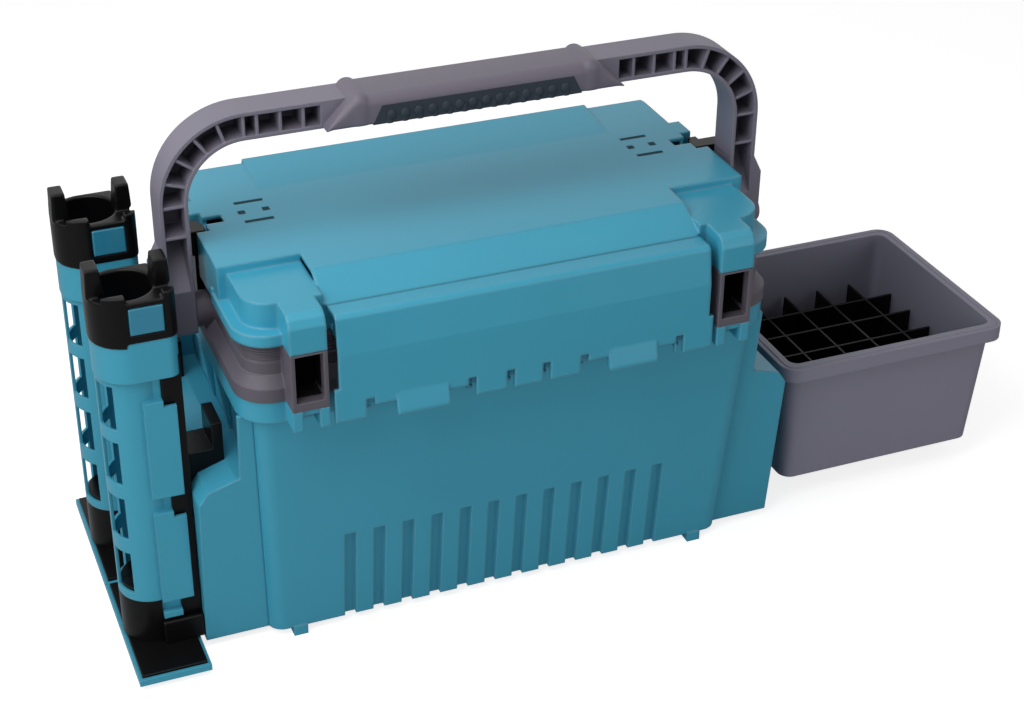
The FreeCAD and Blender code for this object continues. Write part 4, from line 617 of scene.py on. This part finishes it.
def rings(name: str, half: tuple[float, float], corner: float, first: tuple[float, float, float], count: int,
          pitch: float, wire: float, finish: Finish, body: str, slot: str) -> bpy.types.Object:
    """Grow stacked ridges round a rounded rectangle; all sizes in millimetres."""
    values = {"Width": 2 * half[0] * MM, "Depth": 2 * half[1] * MM, "Corner": corner * MM, "Count": count,
              "First": [part * MM for part in first], "Step": (0.0, 0.0, pitch * MM), "Wire": wire * MM}
    return grown(name, Shop.group("ridges", ridge_tree), values, finish, body, slot)


def row(name: str, build: Callable[[bmesh.types.BMesh], None], first: tuple[float, float, float], count: int,
        step: tuple[float, float, float], finish: Finish, body: str, slot: str) -> bpy.types.Object:
    """Grow a row of copies of a small piece that is drawn round the origin; all sizes in millimetres."""
    mesh = bpy.data.meshes.new(f"{name}_piece")
    bm = bmesh.new()
    build(bm)
    bmesh.ops.recalc_face_normals(bm, faces=bm.faces)
    bm.to_mesh(mesh)
    bm.free()
    piece = linked(f"{name}_piece", mesh)
    values = {"Piece": piece, "Count": count, "First": [part * MM for part in first],
              "Step": [part * MM for part in step]}
    made = grown(name, Shop.group("rows", row_tree), values, finish, body, slot)
    bpy.data.objects.remove(piece)
    return made


def section_loft(bm: bmesh.types.BMesh, sections: Sequence[Sequence[Vector]]) -> None:
    """Join closed sections of equal point counts into one skin with closed ends.

    Args:
        bm: The mesh that takes it.
        sections: The sections, each a list of points in metres.
    """
    grid = [[bm.verts.new(point) for point in section] for section in sections]
    for first, second in zip(grid, grid[1:]):
        for index in range(len(first)):
            after = (index + 1) % len(first)
            bm.faces.new((first[index], first[after], second[after], second[index]))
    bm.faces.new(list(reversed(grid[0])))
    bm.faces.new(grid[-1])


def rounded_section(low: tuple[float, float], high: tuple[float, float], radii: Sequence[float],
                    steps: int = 6) -> list[tuple[float, float]]:
    """Points of a rectangle with four rounded corners, in millimetres.

    Args:
        low: Lower left corner.
        high: Upper right corner.
        radii: Radii of the corners lower left, lower right, upper right and upper left.
        steps: Points on each corner.

    Returns:
        The points, anticlockwise.
    """
    corners = ((low[0], low[1], 180.0), (high[0], low[1], 270.0),
               (high[0], high[1], 0.0), (low[0], high[1], 90.0))
    signs = ((1, 1), (-1, 1), (-1, -1), (1, -1))
    points = []
    for (u, v, start), (su, sv), radius in zip(corners, signs, radii):
        for step in range(steps + 1):
            angle = math.radians(start + 90.0 * step / steps)
            points.append((u + su * radius + radius * math.cos(angle),
                           v + sv * radius + radius * math.sin(angle)))
    return points


@dataclass(frozen=True)
class TubSizes:
    """Sizes of the tub's and the frame's fine pieces, in millimetres."""

    band_half: tuple[float, float] = (226.1, 121.6)
    band_corner: float = 22.0
    ridge_low: float = 297.0
    ridge_pitch: float = 2.5
    ridge_count: int = 6
    ridge_wire: float = 0.6
    loop_inner: float = 173.2
    loop_outer: float = 195.8
    loop_back: float = -122.8
    loop_shade_front: float = -141.0
    loop_shelf: float = 274.0
    loop_low: float = 268.8
    loop_high: float = 310.2
    back_thick: float = 0.6
    shade_sheet_thick: float = 0.5
    shade_sheet_edge: float = 0.1
    catch_xs: tuple[float, ...] = (-135.8, -49.7, -16.4, 15.1, 48.6, 135.1)
    catch_front: float = -143.2
    catch_low: float = 247.0
    catch_half: float = 2.4
    catch_deep: float = 3.0
    catch_edge: float = 0.9
    pivot: tuple[float, float] = (-8.0, 288.0)
    pivot_head: tuple[float, float] = (8.6, 1.4)
    hinge: tuple[float, float] = (137.0, 318.0)
    hinge_head: tuple[float, float] = (3.2, 0.9)
    hinge_xs: tuple[float, ...] = (-160.0, 160.0)


@dataclass
class Tub:
    """The tub, the grey frame and the fittings that stay put.

    Attributes:
        sizes: Sizes of the fine pieces.
    """

    sizes: TubSizes = field(default_factory=TubSizes)

    def build(self) -> None:
        """Dress the solids and add the fine pieces."""
        dress(("tub", "side_box_right", "side_box_left"), TEAL_TUB)
        dress(("tray_hanger", "stopper_left", "stopper_right"), BLACK)
        dress(("rim_frame",), GREY_FRAME_SHADED)
        dress(("handle_pin_left", "handle_pin_right"), GREY)
        dress(("hinge_pins",), STEEL)
        self.ridges()
        self.loop_liners()
        self.catch_lips()
        self.heads()

    def ridges(self) -> None:
        """Fine ridges round the frame's band, under the lid."""
        k = self.sizes
        rings("band_ridges", k.band_half, k.band_corner, (0.0, 0.0, k.ridge_low), k.ridge_count,
              k.ridge_pitch, k.ridge_wire, GREY_FRAME_SHADED, "box", "frame_plastic")

    def loop_liners(self) -> None:
        """Dark sheets at the back, on the sides and at the bottom of the two front loops: painted shade of
        the loops' deep insides.
        """
        k = self.sizes

        def fill(bm: bmesh.types.BMesh) -> None:
            for side in (-1.0, 1.0):
                left, right = sorted((side * k.loop_inner, side * k.loop_outer))
                back = k.loop_back
                block(bm, (left, back, k.loop_low), (right, back + k.back_thick, k.loop_high),
                      k.shade_sheet_edge, 1)
                for wall in (left, right - k.shade_sheet_thick):
                    block(bm, (wall, k.loop_shade_front, k.loop_shelf), (wall + k.shade_sheet_thick, back, k.loop_high),
                          k.shade_sheet_edge, 1)
                block(bm, (left, k.loop_shade_front, k.loop_low), (right, back, k.loop_low + k.shade_sheet_thick),
                      k.shade_sheet_edge, 1)

        place("loop_liners", fill, LOOP_SHADE, "box", "black_plastic")

    def catch_lips(self) -> None:
        """Small hooked ends on the six catches."""
        k = self.sizes

        def fill(bm: bmesh.types.BMesh) -> None:
            for x in k.catch_xs:
                block(bm, (x - k.catch_half, k.catch_front, k.catch_low),
                      (x + k.catch_half, k.catch_front + k.catch_deep, k.catch_low + k.catch_deep),
                      k.catch_edge)

        place("catch_lips", fill, TEAL_TUB, "box", "tub_plastic")

    def heads(self) -> None:
        """Domed heads of the handle's pivots and of the hinge pins."""
        k = self.sizes

        def pivots(bm: bmesh.types.BMesh) -> None:
            pin_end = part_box("handle_pin_right")[1].x / MM
            for side in (-1.0, 1.0):
                dome(bm, (side * pin_end, *k.pivot), *k.pivot_head, "X")

        def hinges(bm: bmesh.types.BMesh) -> None:
            for x in k.hinge_xs:
                dome(bm, (x, *k.hinge), *k.hinge_head, "X")

        place("pivot_heads", pivots, GREY, "box", "frame_plastic")
        place("hinge_heads", hinges, STEEL, "box", "steel")


@dataclass(frozen=True)
class LidSizes:
    """Sizes of the lid's fine pieces, in millimetres."""

    slot_x: float = 177.7
    slot_long: float = 24.5
    slot_wide: float = 4.0
    slot_ys: tuple[float, float] = (6.8, 42.5)
    square_y: float = 24.7
    square: float = 6.0
    square_spread: float = 10.4
    recess_z: float = 351.85
    recess_half: float = 0.3
    recess_edge: float = 0.05


@dataclass
class Lid:
    """The lid with its flap.

    Attributes:
        sizes: Sizes of the fine pieces.
    """

    sizes: LidSizes = field(default_factory=LidSizes)

    def build(self) -> None:
        """Dress the lid, the flap and the flap's rod, and add the fine pieces."""
        dress(("lid", "front_flap"), TEAL)
        dress(("flap_pin",), STEEL)
        self.recesses()

    def recesses(self) -> None:
        """Dark sheets just under the lid's top in its slots and squares: painted shade of their depth."""
        k = self.sizes

        def fill(bm: bmesh.types.BMesh) -> None:
            for side in (-1.0, 1.0):
                x = side * k.slot_x
                for y in k.slot_ys:
                    self.bottom(bm, x, y, k.slot_long / 2, k.slot_wide / 2)
                for lean in (-1.0, 1.0):
                    self.bottom(bm, x + lean * k.square_spread, k.square_y, k.square / 2, k.square / 2)

        place("lid_recesses", fill, SLOT_SHADE, "lid_body", "tub_plastic")

    def bottom(self, bm: bmesh.types.BMesh, x: float, y: float, half_x: float, half_y: float) -> None:
        """Add one dark sheet of painted shade in a recess round a point of the lid."""
        k = self.sizes
        block(bm, (x - half_x, y - half_y, k.recess_z - k.recess_half),
              (x + half_x, y + half_y, k.recess_z + k.recess_half), k.recess_edge, 1)


@dataclass(frozen=True)
class GripSizes:
    """Sizes of the grip, in millimetres."""

    front: float = -36.0
    back: float = 11.0
    low: float = 440.5
    top: float = 465.0
    top_half: float = 106.0
    low_half: float = 130.0
    collar: float = 12.0
    collar_rise: float = 2.2
    edge: float = 8.0
    edge_share: float = 0.45
    low_edge: float = 3.0
    band_swell: float = 0.4
    end_gap: float = 0.8
    stations: int = 132
    bump_count: int = 14
    bump_pitch: float = 11.6
    bump_z: float = 447.5
    bump_front: float = -36.4
    bump_radii: tuple[float, float, float] = (3.9, 1.9, 4.6)


@dataclass
class Handle:
    """The carry handle with its grip.

    Attributes:
        sizes: Sizes of the grip.
    """

    sizes: GripSizes = field(default_factory=GripSizes)

    def build(self) -> None:
        """Dress the handle and its insert, and shape the grip."""
        dress(("handle", "handle_foot_right", "handle_foot_left"), GREY)
        dress(("grip_insert",), RUBBER)
        cover = place("grip_cover_moulded", self.cover, GRIP, "handle_body", "grip_plastic")
        for face in cover.data.polygons:
            face.use_smooth = True
        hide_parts("grip_cover")
        self.bumps()

    def top_at(self, x: float) -> float:
        """Height of the grip's skin at a place along it, with slanted ends and raised end bands."""
        k = self.sizes
        beyond = max(0.0, abs(x) - k.top_half)
        slant = (k.top - k.low) * beyond / (k.low_half - k.top_half)
        along = (abs(x) - (k.top_half - k.collar)) / k.collar
        rise = k.collar_rise * math.sin(math.pi * along) ** 0.7 if 0.0 < along < 1.0 else 0.0
        return k.top + rise - slant

    def cover(self, bm: bmesh.types.BMesh) -> None:
        """Skin of the grip, lofted from rounded sections along the handle."""
        k = self.sizes
        sections = []
        reach = k.low_half - k.end_gap
        for step in range(k.stations + 1):
            x = -reach + 2 * reach * step / k.stations
            top = self.top_at(x)
            swell = k.band_swell * max(0.0, top - k.top)
            edge = min(k.edge, (top - k.low) * k.edge_share)
            low_edge = min(k.low_edge, edge)
            outline = rounded_section((k.front - swell, k.low), (k.back + swell, top),
                                      (low_edge, low_edge, edge, edge))
            sections.append([Vector((x, y, z)) * MM for y, z in outline])
        section_loft(bm, sections)

    def bumps(self) -> None:
        """A row of finger bumps along the insert."""
        k = self.sizes
        first = -k.bump_pitch * (k.bump_count - 1) / 2

        def one(bm: bmesh.types.BMesh) -> None:
            made = bmesh.ops.create_uvsphere(bm, u_segments=20, v_segments=12, radius=1.0)["verts"]
            bmesh.ops.scale(bm, verts=made, vec=tuple(radius * MM for radius in k.bump_radii))

        row("finger_bumps", one, (first, k.bump_front, k.bump_z), k.bump_count, (k.bump_pitch, 0.0, 0.0),
            RUBBER, "handle_body", "grip_rubber")


@dataclass(frozen=True)
class StandSizes:
    """Sizes of a rod stand's fine pieces, in millimetres; depths are from the stand's middle."""

    foot_left: float = -305.0
    foot_right: float = -270.6
    foot_front: float = -33.5
    foot_back: float = -28.4
    foot_low: float = 14.4
    foot_high: float = 37.0
    foot_edge: float = 1.4
    crown_cell: float = 0.8
    crown_rounds: int = 16
    button_cell: float = 0.5
    button_rounds: int = 14


@dataclass
class RodStand:
    """One rod stand.

    Attributes:
        name: Start of the names of its solids.
        middle: Its middle in depth, in millimetres.
        sizes: Sizes of the fine pieces.
    """

    name: str
    middle: float
    sizes: StandSizes = field(default_factory=StandSizes)

    def build(self) -> None:
        """Dress the stand's solids and round its crown and button."""
        k = self.sizes
        side = self.name.split("_")[0]
        dress((f"{self.name}_{part}" for part in ("tube", "shoe")), TEAL_STAND)
        dress((f"{self.name}_{part}" for part in ("bracket", "hook", "end_cap")), BLACK)
        softened(f"{self.name}_collar", k.crown_cell, k.crown_rounds, BLACK, f"{self.name}_body",
                 "black_plastic")
        softened(f"{self.name}_button", k.button_cell, k.button_rounds, BUTTON, f"{side}_button_body",
                 "stand_plastic")
        self.foot()

    def foot(self) -> None:
        """The rail's wide black foot in front of the bottom cap."""
        k = self.sizes

        def fill(bm: bmesh.types.BMesh) -> None:
            block(bm, (k.foot_left, self.middle + k.foot_front, k.foot_low),
                  (k.foot_right, self.middle + k.foot_back, k.foot_high), k.foot_edge, 4)

        place(f"{self.name}_foot", fill, BLACK, "box", "black_plastic")


@dataclass(frozen=True)
class TraySizes:
    """Sizes of the tray's fine pieces, in millimetres."""

    middle: tuple[float, float] = (397.0, 19.0)
    bead_half: tuple[float, float] = (113.0, 104.0)
    bead_corner: float = 9.0
    bead_z: float = 157.9
    bead_wire: float = 0.9


@dataclass
class SideTray:
    """The hanging tray and its divider.

    Attributes:
        sizes: Sizes of the fine pieces.
    """

    sizes: TraySizes = field(default_factory=TraySizes)

    def build(self) -> None:
        """Dress the tray and the slats, and lay the bead along the rim."""
        dress(("side_tray",), TRAY)
        dress(("long_slats", "cross_slats"), BLACK)
        k = self.sizes
        rings("tray_bead", k.bead_half, k.bead_corner, (*k.middle, k.bead_z), 1, 0.0, k.bead_wire, TRAY,
              "tray_body", "tray_plastic")


@dataclass
class Studio:
    """Floor, lamps, world and camera.

    Attributes:
        eye: Where the camera stands, in metres.
        view: The direction it looks.
        lens: Its focal length in millimetres.
        shift: How far its frame is moved.
        around: Strength of the even light from all sides.
        floor_glow: Light that the floor shows to the camera alone.
        lamps: Name, place, width and power of each soft lamp, in metres and watts.
    """

    eye: tuple[float, float, float] = (-0.5189, -1.3726, 1.0714)
    view: tuple[float, float, float] = (0.3123, 0.8094, -0.4973)
    lens: float = 67.5
    shift: tuple[float, float] = (0.0352, -0.0425)
    around: float = 0.16
    floor_glow: float = 0.79
    lamps: list[tuple[str, tuple[float, float, float], float, float]] = field(default_factory=lambda: [
        ("key_lamp", (-0.62, -0.30, 1.20), 1.0, 10.5),
        ("left_lamp", (-2.2, -1.1, 0.5), 1.0, 13.0),
        ("top_lamp", (0.3, 0.6, 2.2), 2.0, 4.0),
        ("front_lamp", (1.5, -2.5, 0.5), 1.4, 15.0),
    ])

    def camera(self) -> None:
        """Set the camera at the photograph's angle."""
        data = bpy.data.cameras.new("camera")
        data.lens = self.lens
        data.sensor_width = 36.0
        data.sensor_fit = "HORIZONTAL"
        data.shift_x, data.shift_y = self.shift
        data.clip_end = 30.0
        made = bpy.data.objects.new("camera", data)
        made.rotation_euler = Vector(self.view).to_track_quat("-Z", "Y").to_euler()
        made.location = self.eye
        bpy.context.scene.collection.objects.link(made)
        bpy.context.scene.camera = made

    def light(self) -> None:
        """Hang the soft lamps."""
        for name, spot, size, power in self.lamps:
            data = bpy.data.lights.new(name, "AREA")
            data.shape = "SQUARE"
            data.size = size
            data.energy = power
            made = bpy.data.objects.new(name, data)
            made.location = spot
            aim = Vector((0.0, 0.0, 0.2)) - Vector(spot)
            made.rotation_euler = aim.to_track_quat("-Z", "Y").to_euler()
            bpy.context.scene.collection.objects.link(made)

    def world(self) -> None:
        """Give the scene an even pale world that is plain white to the camera."""
        world = bpy.data.worlds.new("studio")
        bpy.context.scene.world = world
        world.use_nodes = True
        tree = world.node_tree
        back = tree.nodes["Background"]
        back.inputs["Color"].default_value = (1.0, 1.0, 1.0, 1.0)
        back.inputs["Strength"].default_value = self.around
        white = node(tree, "ShaderNodeBackground", Color=(1.0, 1.0, 1.0, 1.0), Strength=1.0)
        path = tree.nodes.new("ShaderNodeLightPath")
        mix = tree.nodes.new("ShaderNodeMixShader")
        seen = path.outputs["Is Camera Ray"]
        for ray in ("Is Glossy Ray", "Is Transmission Ray"):
            seen = maths(tree, "MAXIMUM", seen, path.outputs[ray])
        link(tree, seen, mix.inputs["Fac"])
        link(tree, back.outputs[0], mix.inputs[1])
        link(tree, white.outputs[0], mix.inputs[2])
        link(tree, mix.outputs[0], tree.nodes["World Output"].inputs["Surface"])

    def floor(self) -> None:
        """Lay a pale floor that keeps a soft shadow."""
        mesh = bpy.data.meshes.new("floor")
        bm = bmesh.new()
        bmesh.ops.create_circle(bm, cap_ends=True, segments=96, radius=9.0)
        bm.to_mesh(mesh)
        bm.free()
        made = bpy.data.objects.new("floor", mesh)
        bpy.context.scene.collection.objects.link(made)
        material = bpy.data.materials.new("floor")
        material.use_nodes = True
        tree = material.node_tree
        shader = tree.nodes["Principled BSDF"]
        shader.inputs["Base Color"].default_value = (0.62, 0.62, 0.62, 1.0)
        shader.inputs["Roughness"].default_value = 0.9
        shader.inputs["Specular IOR Level"].default_value = 0.1
        glow = node(tree, "ShaderNodeEmission", Color=(1.0, 1.0, 1.0, 1.0), Strength=self.floor_glow)
        add = tree.nodes.new("ShaderNodeAddShader")
        link(tree, shader.outputs[0], add.inputs[0])
        link(tree, glow.outputs[0], add.inputs[1])
        path = tree.nodes.new("ShaderNodeLightPath")
        mix = tree.nodes.new("ShaderNodeMixShader")
        link(tree, path.outputs["Is Camera Ray"], mix.inputs["Fac"])
        link(tree, shader.outputs[0], mix.inputs[1])
        link(tree, add.outputs[0], mix.inputs[2])
        link(tree, mix.outputs[0], tree.nodes["Material Output"].inputs["Surface"])
        mesh.materials.append(material)

    def build(self) -> None:
        """Set up the whole studio."""
        self.camera()
        self.light()
        self.world()
        self.floor()
        bpy.context.scene.view_settings.view_transform = "Standard"


def main() -> None:
    """Build every sub-assembly and the studio."""
    stands = [RodStand(name, middle) for name, middle in STAND_MIDDLES.items()]
    for assembly in (Tub(), Lid(), Handle(), *stands, SideTray()):
        LOG.info("building %s", type(assembly).__name__)
        assembly.build()
    Studio().build()


if __name__ == "__main__":
    main()
